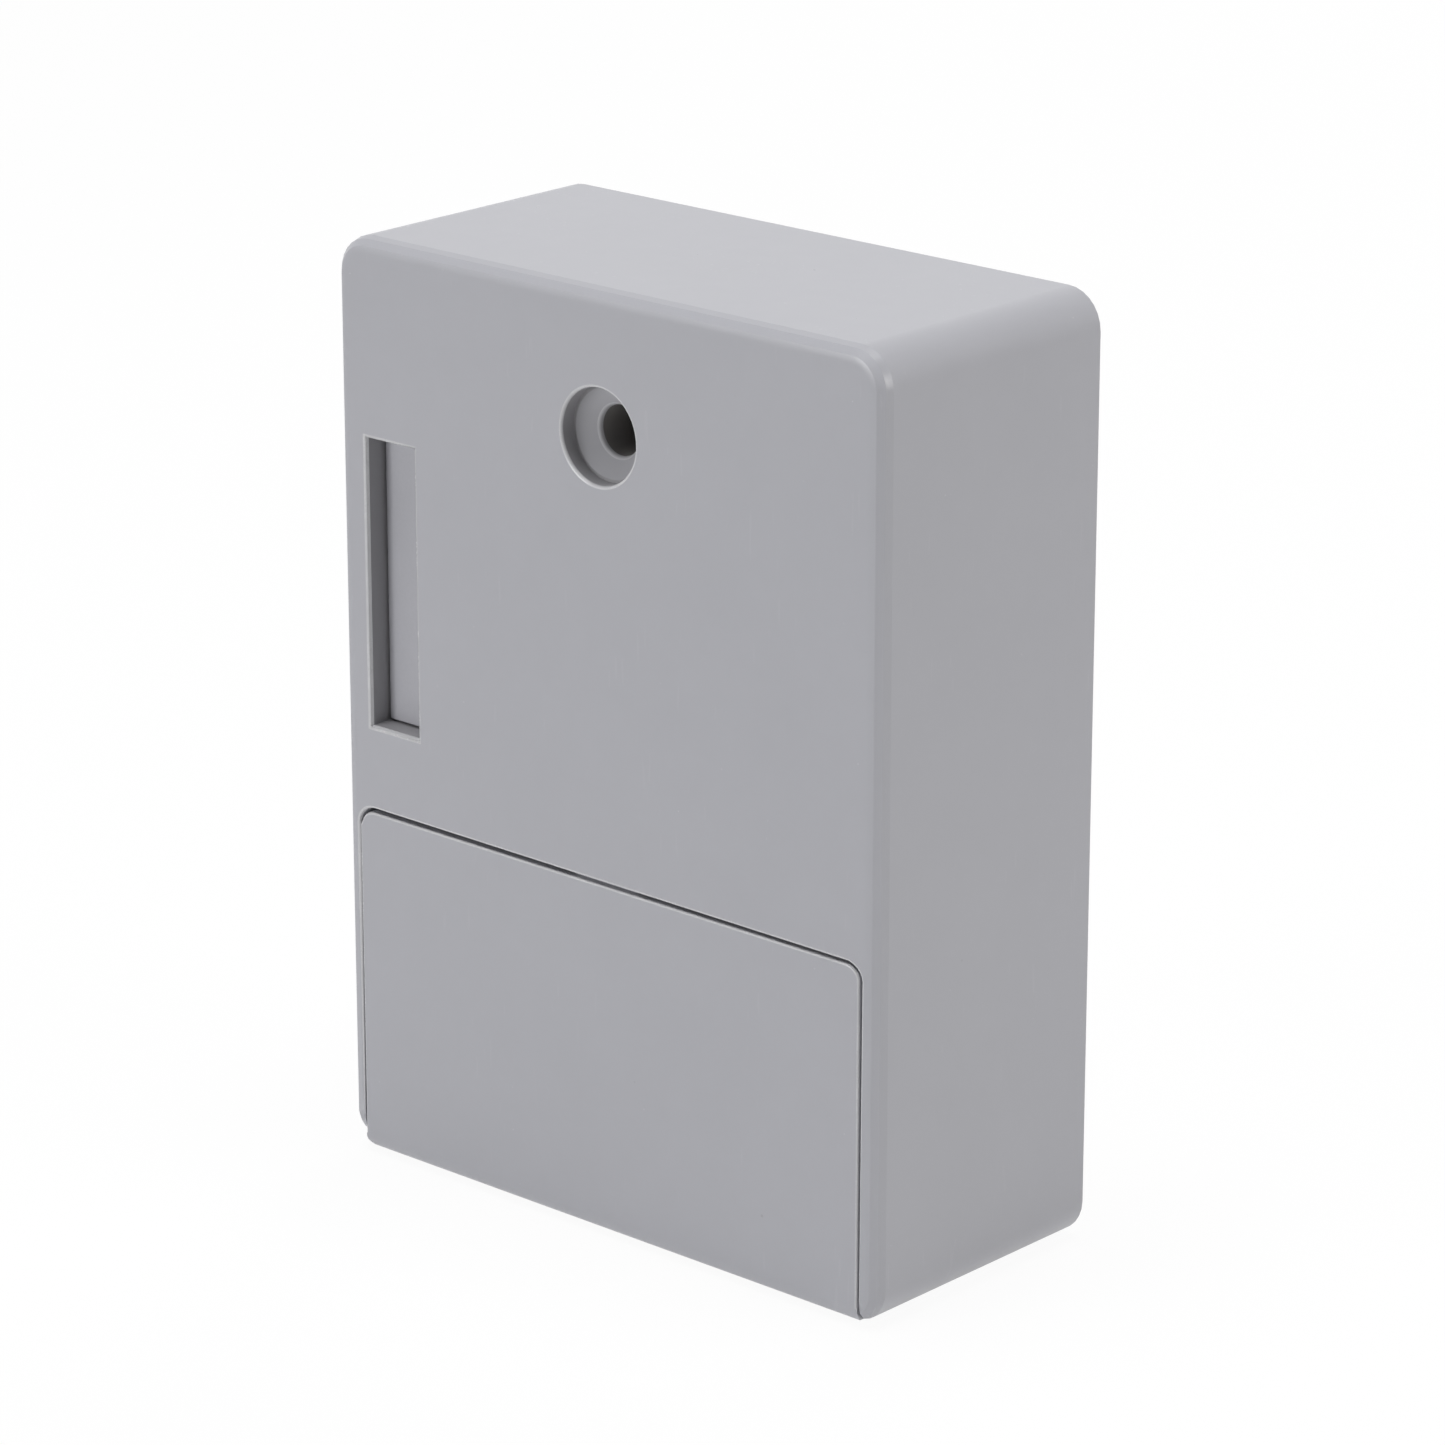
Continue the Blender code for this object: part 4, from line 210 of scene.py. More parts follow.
class NodeTree:
    """A node tree that is built from types, settings, values and links."""

    def __init__(self, tree: bpy.types.NodeTree) -> None:
        """Take over a tree and empty it.

        Args:
            tree: The tree to build in.
        """
        self.tree = tree
        tree.nodes.clear()

    def node(
        self,
        kind: str,
        settings: dict[str, object] | None = None,
        sockets: dict[int | str, object] | None = None,
    ) -> bpy.types.Node:
        """Add one node.

        Args:
            kind: The node's type.
            settings: Its settings, set first.
            sockets: Values or signals for its inputs.

        Returns:
            The node.
        """
        made = self.tree.nodes.new(kind)
        for name, value in (settings or {}).items():
            setattr(made, name, value)
        for key, value in (sockets or {}).items():
            self.feed(made.inputs[key], value)
        return made

    def feed(self, socket: bpy.types.NodeSocket, value: object) -> None:
        """Give an input its value.

        Args:
            socket: The input.
            value: A signal to link to it, or its own value.
        """
        if isinstance(value, Signal):
            self.tree.links.new(value.socket, socket)
        else:
            socket.default_value = value

    def signal(
        self,
        kind: str,
        settings: dict[str, object] | None = None,
        sockets: dict[int | str, object] | None = None,
        output: int | str = 0,
    ) -> Signal:
        """Add one node and take one of its outputs.

        Args:
            kind: The node's type.
            settings: Its settings.
            sockets: Values or signals for its inputs.
            output: The output to take.

        Returns:
            The output as a signal.
        """
        return Signal(self, self.node(kind, settings, sockets).outputs[output])

    def seen(self) -> Signal:
        """Return 1 for rays from the camera and for mirrored or refracted ones, and else 0."""
        path = self.node("ShaderNodeLightPath")
        kinds = ("Is Camera Ray", "Is Glossy Ray", "Is Transmission Ray")
        camera, mirrored, refracted = (Signal(self, path.outputs[kind]) for kind in kinds)
        return camera.most(mirrored).most(refracted)


class Recipe(NodeTree):
    """The node tree of one material, ending in a Principled shader."""

    def __init__(self, name: str) -> None:
        """Start a material.

        Args:
            name: The material's name.
        """
        self.material = bpy.data.materials.new(name)
        self.material.use_nodes = True
        super().__init__(self.material.node_tree)
        self.shader = self.node("ShaderNodeBsdfPrincipled")
        self.end = self.node("ShaderNodeOutputMaterial", None, {"Surface": self.surface()})

    def surface(self) -> Signal:
        """Return the Principled shader's output."""
        return Signal(self, self.shader.outputs[0])

    def place(self) -> Signal:
        """Return the point on the piece, in metres."""
        return self.signal("ShaderNodeTexCoord", output="Object")

    def parts(self, vector: Signal) -> tuple[Signal, Signal, Signal]:
        """Split a vector.

        Args:
            vector: The vector to split.

        Returns:
            Its three numbers.
        """
        made = self.node("ShaderNodeSeparateXYZ", None, {0: vector})
        return tuple(Signal(self, output) for output in made.outputs)

    def stretched(self, scale: Point, turn: Point = (0, 0, 0)) -> Signal:
        """Return the point on the piece, turned and scaled.

        Args:
            scale: The factor along each axis.
            turn: The turn about each axis, in radians.

        Returns:
            The mapped point.
        """
        sockets = {"Vector": self.place(), "Rotation": turn, "Scale": scale}
        return self.signal("ShaderNodeMapping", None, sockets)

    def noise(self, size: float, detail: float = 2, point: Signal | None = None) -> Signal:
        """Return soft noise from 0 to 1.

        Args:
            size: The width of one lump, in metres.
            detail: How many finer layers it has.
            point: Where it is read, or the point on the piece.

        Returns:
            The noise.
        """
        sockets = {"Vector": point or self.place(), "Scale": 1 / size, "Detail": detail}
        return self.signal("ShaderNodeTexNoise", None, sockets)

    def cells(self, size: float, point: Signal | None = None) -> Signal:
        """Return the distance to the nearest of many scattered points.

        Args:
            size: The mean distance between the points, in metres.
            point: Where it is read, or the point on the piece.

        Returns:
            The distance, 1 being one cell.
        """
        sockets = {"Vector": point or self.place(), "Scale": 1 / size}
        return self.signal("ShaderNodeTexVoronoi", None, sockets, "Distance")

    def mesh_value(self, name: str) -> Signal:
        """Return a number that is written on the mesh."""
        return self.signal("ShaderNodeAttribute", {"attribute_name": name}, None, "Fac")

    def blend(self, share: Signal | float, low: Signal | Colour, high: Signal | Colour) -> Signal:
        """Mix two colours.

        Args:
            share: How much of the second is seen.
            low: The first colour.
            high: The second colour.

        Returns:
            The mixed colour.
        """
        ends = [value if isinstance(value, Signal) else (*value, 1) for value in (low, high)]
        sockets = {0: share, 6: ends[0], 7: ends[1]}
        return self.signal("ShaderNodeMix", {"data_type": "RGBA"}, sockets, 2)

    def relief(self, height: Signal, depth: float) -> Signal:
        """Turn a height into a shading normal.

        Args:
            height: The height, from 0 to 1.
            depth: The real height of 1, in metres.

        Returns:
            The normal.
        """
        return self.signal("ShaderNodeBump", None, {"Height": height, "Distance": depth, "Strength": 1.0})

    def dress(self, **values: object) -> bpy.types.Material:
        """Set the shader's inputs and finish the material.

        Args:
            values: Inputs by name, with underscores for spaces.

        Returns:
            The material.
        """
        for name, value in values.items():
            if isinstance(value, tuple):
                value = (*value, 1)
            self.feed(self.shader.inputs[name.replace("_", " ")], value)
        return self.material


@dataclass(frozen=True)
class MouldedPlastic:
    """Moulded plastic with a fine grain, flow marks, dust and hairlines, paler rims as a painted highlight, and
    darker recesses as painted shade.
    """

    name: str
    colour: Colour
    roughness: float = 0.5
    grain: float = 0.00016
    grain_depth: float = 0.000004
    mottling: float = 0.045
    dust: float = 0.3
    scratches: float = 0.06
    # Paler colour on faces marked as rims: a painted highlight, patchy like wear.
    rim_highlight_tone: Colour | None = None
    # Darker colour on faces marked deep: painted shade in the bore and recesses.
    recess_shade_tone: Colour | None = None
    flow_size: float = 0.018
    patch_size: float = 0.0035
    tone_shares: Point = (0.45, 0.25, 0.3)  # of the flow, the patches and the grain
    rough_spread: Point2 = (0.08, 0.05)  # by the patches and the grain
    relief_shares: Point2 = (0.15, 0.85)  # of the patches and the grain
    rim_cover: Point2 = (0.45, 0.5)  # everywhere, and more on the patches
    rim_polish: float = 0.08
    deep_dulling: float = 0.4
    dust_pitch: Point2 = (0.0021, 0.006)  # between grains, and between dusty areas
    dust_tone: Colour = (0.75, 0.75, 0.76)
    speck_pitch: Point2 = (0.0093, 0.016)  # between specks, and between specked areas
    speck_tone: Colour = (0.16, 0.15, 0.15)
    speck_turn: Point = (0.5, 0.3, 0.9)
    # The turn of each set of scratches, and the size of its areas.
    hairs: tuple[tuple[Point, float], ...] = (((0.35, 0.2, 0), 0.011), ((-0.5, -0.75, 0.3), 0.014))
    hair_grain: Point = (1500, 1500, 150)
    hair_polish: float = 0.06
    scratch_tone: Colour = (0.7, 0.7, 0.72)

    def material(self) -> bpy.types.Material:
        """Return the finish as a material."""
        recipe = Recipe(self.name)
        flow = recipe.noise(self.flow_size, 3)
        patch = recipe.noise(self.patch_size, 4)
        grain = recipe.noise(self.grain, 2)
        dark = tuple(value * (1 - self.mottling) for value in self.colour)
        light = tuple(min(1, value * (1 + self.mottling)) for value in self.colour)
        by_flow, by_patch, by_grain = self.tone_shares
        tone = recipe.blend(flow * by_flow + patch * by_patch + grain * by_grain, dark, light)
        if self.dust:
            tone = self.dusted(recipe, tone)
        by_patch, by_grain = self.rough_spread
        rough = self.roughness + (patch - 0.5) * by_patch + (grain - 0.5) * by_grain
        if self.scratches:
            hair = self.hairlines(recipe)
            tone = recipe.blend(hair * self.scratches, tone, self.scratch_tone)
            rough = rough - hair * self.hair_polish
        # Rims: a painted highlight, paler and glossier, patchy with the patches.
        if self.rim_highlight_tone:
            rim = recipe.mesh_value("rim")
            least, spread = self.rim_cover
            tone = recipe.blend(rim * (least + patch * spread), tone, self.rim_highlight_tone)
            rough = rough - rim * self.rim_polish
        # Painted shade in the bore, the screw seat and the slot walls, read from the deep mark.
        if self.recess_shade_tone:
            deep = recipe.mesh_value("deep")
            tone = recipe.blend(deep, tone, self.recess_shade_tone)
            rough = rough + deep * self.deep_dulling
        by_patch, by_grain = self.relief_shares
        normal = recipe.relief(grain * by_grain + patch * by_patch, self.grain_depth)
        return recipe.dress(Base_Color=tone, Roughness=rough, Normal=normal)

    def dusted(self, recipe: Recipe, tone: Signal) -> Signal:
        """Lay pale dust and a few dark specks over a tone.

        Args:
            recipe: The recipe that the tone belongs to.
            tone: The tone below.

        Returns:
            The tone with the specks.
        """
        pitch, cloud = self.dust_pitch
        dust = 1 - recipe.cells(pitch).ease(0.02, 0.055)
        rare = recipe.noise(cloud, 1).ease(0.56, 0.66)
        tone = recipe.blend(dust * rare * self.dust, tone, self.dust_tone)
        pitch, cloud = self.speck_pitch
        turned = recipe.stretched((1, 1, 1), self.speck_turn)
        speck = 1 - recipe.cells(pitch, turned).ease(0.012, 0.028)
        few = recipe.noise(cloud, 1).ease(0.5, 0.58)
        return recipe.blend(speck * few * self.dust, tone, self.speck_tone)

    def hairlines(self, recipe: Recipe) -> Signal:
        """Return a mask of short fine scratches in two directions."""
        total = None
        for turn, size in self.hairs:
            line = recipe.noise(1.0, 1, recipe.stretched(self.hair_grain, turn)).ease(0.70, 0.74)
            line = line * recipe.noise(size, 2).ease(0.52, 0.62)
            total = line if total is None else total.most(line)
        return total


@dataclass(frozen=True)
class Metal:
    """Bare metal with a drawn or rolled grain and faint handling marks."""

    name: str
    colour: Colour
    roughness: float = 0.32
    grain: Point = (60, 9000, 9000)
    grain_depth: float = 0.0000015
    tarnish: float = 0.12
    cloud_size: float = 0.0022
    tone_shares: Point2 = (0.7, 0.3)  # of the clouds and the drawn lines
    rough_spread: Point2 = (0.1, 0.14)  # by the clouds and the drawn lines

    def material(self) -> bpy.types.Material:
        """Return the finish as a material."""
        recipe = Recipe(self.name)
        drawn = recipe.noise(1.0, 2, recipe.stretched(self.grain))
        cloud = recipe.noise(self.cloud_size, 3)
        dark = tuple(value * (1 - self.tarnish) for value in self.colour)
        by_cloud, by_line = self.tone_shares
        tone = recipe.blend(cloud * by_cloud + drawn * by_line, dark, self.colour)
        by_cloud, by_line = self.rough_spread
        rough = self.roughness + (drawn - 0.5) * by_line + (cloud - 0.5) * by_cloud
        normal = recipe.relief(drawn, self.grain_depth)
        return recipe.dress(Base_Color=tone, Roughness=rough, Metallic=1.0, Normal=normal)


@dataclass(frozen=True)
class SolderMask:
    """A circuit board's green mask over copper tracks, with tinned pads."""

    name: str
    colour: Colour = (0.012, 0.12, 0.045)
    track_colour: Colour = (0.03, 0.21, 0.085)
    pad_colour: Colour = (0.55, 0.53, 0.48)
    pitch: float = 0.0011
    patches: Point = (0.0113, 0.0071, 0.0047)  # where tracks turn, slant and end
    slant: float = 0.7
    via_pitch: float = 0.0046
    weave_size: float = 0.0006
    roughness: Point2 = (0.3, 0.12)  # at least, and more with the weave
    relief_shares: Point = (0.7, 0.15, 0.3)  # of the copper, the weave and the pads
    relief_depth: float = 0.00003
    scramble: Point = (12.9898, 78.233, 437.585)  # for a patch's column, its row and their wave

    def material(self) -> bpy.types.Material:
        """Return the finish as a material."""
        recipe = Recipe(self.name)
        x, _, z = recipe.parts(recipe.place())
        large, middling, small = self.patches
        upright = self.block(x, z, large, 0.0).above(0.5)
        slanted = self.block(x, z, middling, 5.0).above(0.66)
        lane = x * upright + z * (1 - upright)
        lane = lane + (x + z) * slanted * self.slant
        track = abs((lane / self.pitch).fraction() - 0.5).ease(0.17, 0.21)
        area = self.block(x, z, small, 9.0).above(0.36)
        copper = (1 - track) * area
        weave = recipe.noise(self.weave_size, 2)
        tone = recipe.blend(copper, self.colour, self.track_colour)
        via = 1 - recipe.cells(self.via_pitch).ease(0.07, 0.09)
        tone = recipe.blend(via, tone, self.pad_colour)
        rough = self.roughness[0] + weave * self.roughness[1]
        by_copper, by_weave, by_via = self.relief_shares
        normal = recipe.relief(copper * by_copper + weave * by_weave + via * by_via, self.relief_depth)
        return recipe.dress(Base_Color=tone, Roughness=rough, Normal=normal)

    def block(self, x: Signal, z: Signal, size: float, seed: float) -> Signal:
        """Return one number for each square patch of the board, as if by chance.

        Args:
            x: The place across the board, in metres.
            z: The place up the board, in metres.
            size: The width of a patch, in metres.
            seed: A number that changes the pattern.

        Returns:
            A number from 0 to 1.
        """
        column, row = (x / size).floor(), (z / size).floor()
        across, up, gain = self.scramble
        return ((column * across + row * up + seed).wave() * gain).fraction()


@dataclass(frozen=True)
class CellJacket:
    """The printed sleeve of a dry cell: a dark body, a pale band, and its plus and minus signs."""

    name: str
    colour: Colour = (0.02, 0.045, 0.085)
    band: Colour = (0.55, 0.56, 0.58)
    minus_colour: Colour = (0.7, 0.7, 0.7)
    plus_colour: Colour = (0.03, 0.03, 0.035)
    length: float = 0.0435
    band_start: float = 0.034
    line_gap: float = 1.2  # in millimetres, below the band
    sign_places: Point2 = (0.1, 0.9)  # shares of the length, minus and plus
    arm: float = 0.0013
    stroke: float = 0.0003
    sheen_size: float = 0.004
    roughness: Point2 = (0.24, 0.1)  # at least, and more with the sheen
    relief_depth: float = 0.00002

    def material(self) -> bpy.types.Material:
        """Return the finish as a material."""
        recipe = Recipe(self.name)
        along = recipe.mesh_value("along") * TO_MM
        around = recipe.mesh_value("around") * TO_MM
        sheen = recipe.noise(self.sheen_size, 3)
        start, length = self.band_start * TO_MM, self.length * TO_MM
        tone = recipe.blend(along.ease(start, start + 0.1), self.colour, self.band)
        line = 1 - abs(along - (start - self.line_gap)).ease(0.25, 0.32)
        tone = recipe.blend(line, tone, self.band)
        minus = self.bar(around, along - length * self.sign_places[0])
        tone = recipe.blend(minus, tone, self.minus_colour)
        up = along - length * self.sign_places[1]
        plus = self.bar(around, up).most(self.bar(up, around))
        tone = recipe.blend(plus, tone, self.plus_colour)
        rough = self.roughness[0] + sheen * self.roughness[1]
        return recipe.dress(Base_Color=tone, Roughness=rough, Normal=recipe.relief(sheen, self.relief_depth))

    def bar(self, wide: Signal, tall: Signal) -> Signal:
        """Return a mask of one bar of a sign.

        Args:
            wide: The distance along the bar, in millimetres.
            tall: The distance across the bar, in millimetres.

        Returns:
            1 on the bar, and else 0.
        """
        arm, stroke = self.arm * TO_MM, self.stroke * TO_MM
        return (1 - abs(wide).ease(arm, arm + 0.05)) * (1 - abs(tall).ease(stroke, stroke + 0.05))


@dataclass(frozen=True)
class Insulation:
    """The soft vinyl of a lead, with a faint lengthwise wave."""

    name: str
    colour: Colour
    ripple_size: float = 0.0009
    lightening: Point2 = (1.25, 0.01)  # factor and offset of the paler tone
    roughness: Point2 = (0.38, 0.16)  # at least, and more with the ripple
    relief_depth: float = 0.00002

    def material(self) -> bpy.types.Material:
        """Return the finish as a material."""
        recipe = Recipe(self.name)
        ripple = recipe.noise(self.ripple_size, 2)
        gain, lift = self.lightening
        light = tuple(min(1, value * gain + lift) for value in self.colour)
        tone = recipe.blend(ripple, self.colour, light)
        rough = self.roughness[0] + ripple * self.roughness[1]
        return recipe.dress(Base_Color=tone, Roughness=rough, Normal=recipe.relief(ripple, self.relief_depth))


FINISHES: dict[Slot, MouldedPlastic | Metal | SolderMask | CellJacket | Insulation] = {
    Slot.HOUSING: MouldedPlastic(
        "case_plastic",
        (0.378, 0.38, 0.41),
        roughness=0.35,
        scratches=0.04,
        # The paler rim colour is a painted highlight along the rounded edges.
        rim_highlight_tone=(0.58, 0.58, 0.59),
        # The darker tone is painted shade in the bore, the screw seat and the slot.
        recess_shade_tone=(0.22, 0.21, 0.205),
    ),
    Slot.EJECTOR: MouldedPlastic(
        "ejector_plastic",
        (0.365, 0.365, 0.395),
        roughness=0.55,
        grain=0.0005,
        grain_depth=0.00001,
        mottling=0.14,
    ),
    Slot.STEEL: Metal("plated_steel", (0.62, 0.62, 0.64)),
    Slot.ZINC: Metal(
        "cast_zinc",
        (0.5, 0.51, 0.53),
        roughness=0.42,
        grain=(1400, 1400, 1400),
        grain_depth=0.000004,
        tarnish=0.2,
    ),
    Slot.BRASS: Metal("machined_brass", (0.72, 0.53, 0.24), roughness=0.28),
    Slot.ACETAL: MouldedPlastic(
        "white_acetal",
        (0.8, 0.79, 0.74),
        roughness=0.36,
        grain=0.0003,
        grain_depth=0.000002,
        mottling=0.02,
        dust=0,
        scratches=0,
    ),
    Slot.BOARD: SolderMask("green_board"),
    Slot.BLACK: MouldedPlastic(
        "black_moulding",
        (0.018, 0.018, 0.02),
        roughness=0.46,
        grain=0.0002,
        grain_depth=0.000005,
        mottling=0.1,
        dust=0.05,
        scratches=0.015,
    ),
    Slot.WHITE: MouldedPlastic(
        "white_nylon",
        (0.74, 0.71, 0.63),
        grain=0.0002,
        grain_depth=0.000003,
        mottling=0.03,
        dust=0,
        scratches=0,
    ),
    Slot.COPPER: Metal("bare_copper", (0.82, 0.42, 0.24), roughness=0.3),
    Slot.JACKET: CellJacket("cell_sleeve"),
    Slot.RED: Insulation("red_vinyl", (0.42, 0.012, 0.012)),
    Slot.LEAD_BLACK: Insulation("black_vinyl", (0.012, 0.012, 0.013)),
}


class Store:
    """The materials made so far, one for each finish."""

    made: dict[Slot, bpy.types.Material] = {}

    @classmethod
    def material(cls, slot: Slot) -> bpy.types.Material:
        """Return the material of a slot, made once."""
        if slot not in cls.made:
            cls.made[slot] = FINISHES[slot].material()
        return cls.made[slot]


def add_piece(mesh: bpy.types.Mesh, slot: Slot, body: Body, nodes: Sequence[str] = ()) -> bpy.types.Object:
    """Put a finished mesh into the scene.

    Args:
        mesh: The mesh, named for the piece and in its place.
        slot: The material slot that it takes its finish from.
        body: The body that it moves with.
        nodes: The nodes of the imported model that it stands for.

    Returns:
        The piece.
    """
    piece = bpy.data.objects.new(mesh.name, mesh)
    bpy.context.scene.collection.objects.link(piece)
    if not mesh.materials:
        mesh.materials.append(Store.material(slot))
    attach(piece, body.value)
    if nodes:
        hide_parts(*nodes)
    log.info("%s: %d faces", mesh.name, len(mesh.polygons))
    return piece


def soften(piece: bpy.types.Object, angle: float = 35) -> None:
    """Shade a piece smoothly, but keep its corners and its flat faces.

    Args:
        piece: The piece to shade.
        angle: The angle in degrees above which an edge stays sharp.
    """
    piece.data.shade_smooth()
    piece.data.set_sharp_from_angle(angle=math.radians(angle))
    modifier = piece.modifiers.new("flat_faces", "WEIGHTED_NORMAL")
    modifier.keep_sharp = True
    modifier.weight = 100
    modifier.thresh = EQUAL_AREA


def mesh_from(bm: bmesh.types.BMesh, name: str) -> bpy.types.Mesh:
    """Turn a working mesh into a named one and free it.

    Args:
        bm: The working mesh.
        name: The name of the new mesh.

    Returns:
        The mesh.
    """
    mesh = bpy.data.meshes.new(name)
    bm.to_mesh(mesh)
    bm.free()
    return mesh


def clean_copy(node: str) -> bmesh.types.BMesh:
    """Copy a node's mesh with its triangles joined and the lines across flat faces cleared.

    Args:
        node: The node to copy.

    Returns:
        The copy, ready for more work.
    """
    bm = bmesh.new()
    bm.from_mesh(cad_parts[node].data)
    bmesh.ops.remove_doubles(bm, verts=bm.verts, dist=WELD)
    clear_flats(bm)
    return bm


def clear_flats(bm: bmesh.types.BMesh) -> None:
    """Join the faces that lie in one plane."""
    bmesh.ops.dissolve_limit(bm, angle_limit=FLAT, verts=bm.verts, edges=bm.edges)


def round_edges(bm: bmesh.types.BMesh, width: float, test: Test, steps: int = 2) -> None:
    """Round the sharp edges that a test picks, and mark the new faces as rims, which the housing's plastic
    lightens as a painted highlight.

    Args:
        bm: The mesh to work on.
        width: How far the rounding reaches from the edge.
        test: Whether an edge is rounded.
        steps: The number of faces across the rounding.
    """
    rim = bm.faces.layers.float.get("rim") or bm.faces.layers.float.new("rim")
    sharp = [e for e in bm.edges if e.is_manifold and e.calc_face_angle(0) > SHARP and test(e)]
    if not sharp:
        return
    made = bmesh.ops.bevel(
        bm,
        geom=sharp,
        offset=width,
        offset_type="OFFSET",
        segments=steps,
        profile=0.5,
        affect="EDGES",
        clamp_overlap=False,
        miter_outer="ARC",
    )
    for face in made["faces"]:
        face[rim] = 1.0


def lathe(profile: Sequence[tuple[float, float]], place: Matrix, steps: int = 48) -> bmesh.types.BMesh:
    """Turn a closed profile round its axis.

    Args:
        profile: Radius and height of each point, from one end of the axis to the other.
        place: Where the axis goes, its length along local z.
        steps: The number of faces round it.

    Returns:
        The turned solid.
    """
    bm = bmesh.new()
    rings = []
    for radius, height in profile:
        count = steps if radius else 1
        turns = [2 * math.pi * step / steps for step in range(count)]
        ring = [bm.verts.new((radius * math.cos(t), radius * math.sin(t), height)) for t in turns]
        rings.append(ring)
    for low, high in zip(rings, rings[1:]):
        for step in range(steps):
            after = (step + 1) % steps
            places = ((low, step), (low, after), (high, after), (high, step))
            corners = list(dict.fromkeys(ring[number % len(ring)] for ring, number in places))
            if len(corners) > 2:
                bm.faces.new(corners)
    bmesh.ops.recalc_face_normals(bm, faces=bm.faces)
    bm.transform(place)
    return bm


def along_y(x: float, y: float, z: float) -> Matrix:
    """Return the place of a lathe whose axis runs backwards from a point."""
    return Matrix.Translation((x, y, z)) @ Matrix.Rotation(-QUARTER, 4, "X")


def along_x(x: float, y: float, z: float, side: int) -> Matrix:
    """Return the place of a lathe whose axis runs to one side from a point."""
    return Matrix.Translation((x, y, z)) @ Matrix.Rotation(QUARTER * side, 4, "Y")


def block(low: Sequence[float], high: Sequence[float]) -> bmesh.types.BMesh:
    """Build a block.

    Args:
        low: Its lowest corner.
        high: Its highest corner.

    Returns:
        The block.
    """
    low, high = Vector(low), Vector(high)
    bm = bmesh.new()
    bmesh.ops.create_cube(bm, size=1)
    bmesh.ops.scale(bm, vec=high - low, verts=bm.verts)
    bmesh.ops.translate(bm, vec=(low + high) / 2, verts=bm.verts)
    return bm


def combined(base: bmesh.types.BMesh, tool: bmesh.types.BMesh, cut: Cut) -> bmesh.types.BMesh:
    """Join or cut one working mesh with another.

    Args:
        base: The mesh that is worked on, which is freed.
        tool: The mesh that is added or taken away, which is freed.
        cut: Whether the tool is added or taken away.

    Returns:
        The result.
    """
    pair = [bpy.data.objects.new(name, mesh_from(bm, name)) for name, bm in (("base", base), ("tool", tool))]
    for item in pair:
        bpy.context.scene.collection.objects.link(item)
    modifier = pair[0].modifiers.new("combine", "BOOLEAN")
    modifier.operation = cut.value
    modifier.solver = "EXACT"
    modifier.object = pair[1]
    evaluated = pair[0].evaluated_get(bpy.context.evaluated_depsgraph_get())
    made = bmesh.new()
    made.from_mesh(evaluated.to_mesh())
    evaluated.to_mesh_clear()
    for item in pair:
        bpy.data.meshes.remove(item.data)
    return made


def write_value(mesh: bpy.types.Mesh, name: str, value: Callable[[Vector], float]) -> None:
    """Write a number at every vertex, for the mesh's material.

    Args:
        mesh: The mesh.
        name: The attribute's name.
        value: The number at a point.
    """
    layer = mesh.attributes.new(name, "FLOAT", "POINT")
    layer.data.foreach_set("value", [value(vert.co) for vert in mesh.vertices])


def refine(node: str, name: str, slot: Slot, body: Body, width: float = 0, test: Test | None = None) -> None:
    """Stand a smoothly shaded copy with rounded edges in for a node.

    Args:
        node: The node that the piece replaces.
        name: The piece's name.
        slot: Its material slot.
        body: The body that it moves with.
        width: The rounding of its sharp edges, or 0 for none.
        test: Which sharp edges are rounded, or all of them.
    """
    bm = clean_copy(node)
    if width:
        round_edges(bm, width, test or (lambda edge: True))
    soften(add_piece(mesh_from(bm, name), slot, body, [node]))


def can_profile(wide: float, tall: float, foot: Profile, head: Profile) -> list[tuple[float, float]]:
    """Return the outline of a round can, for the lathe.

    Args:
        wide: Its radius.
        tall: Its height.
        foot: How far each low point lies inside the wall and above the foot.
        head: How far each high point lies inside the wall and below the top.

    Returns:
        Radius and height of each point, from the middle of the foot to the middle of the top.
    """
    low = [(wide - inset, height) for inset, height in foot]
    high = [(wide - inset, tall - depth) for inset, depth in head]
    return [(0, low[0][1]), *low, *high, (0, high[-1][1])]


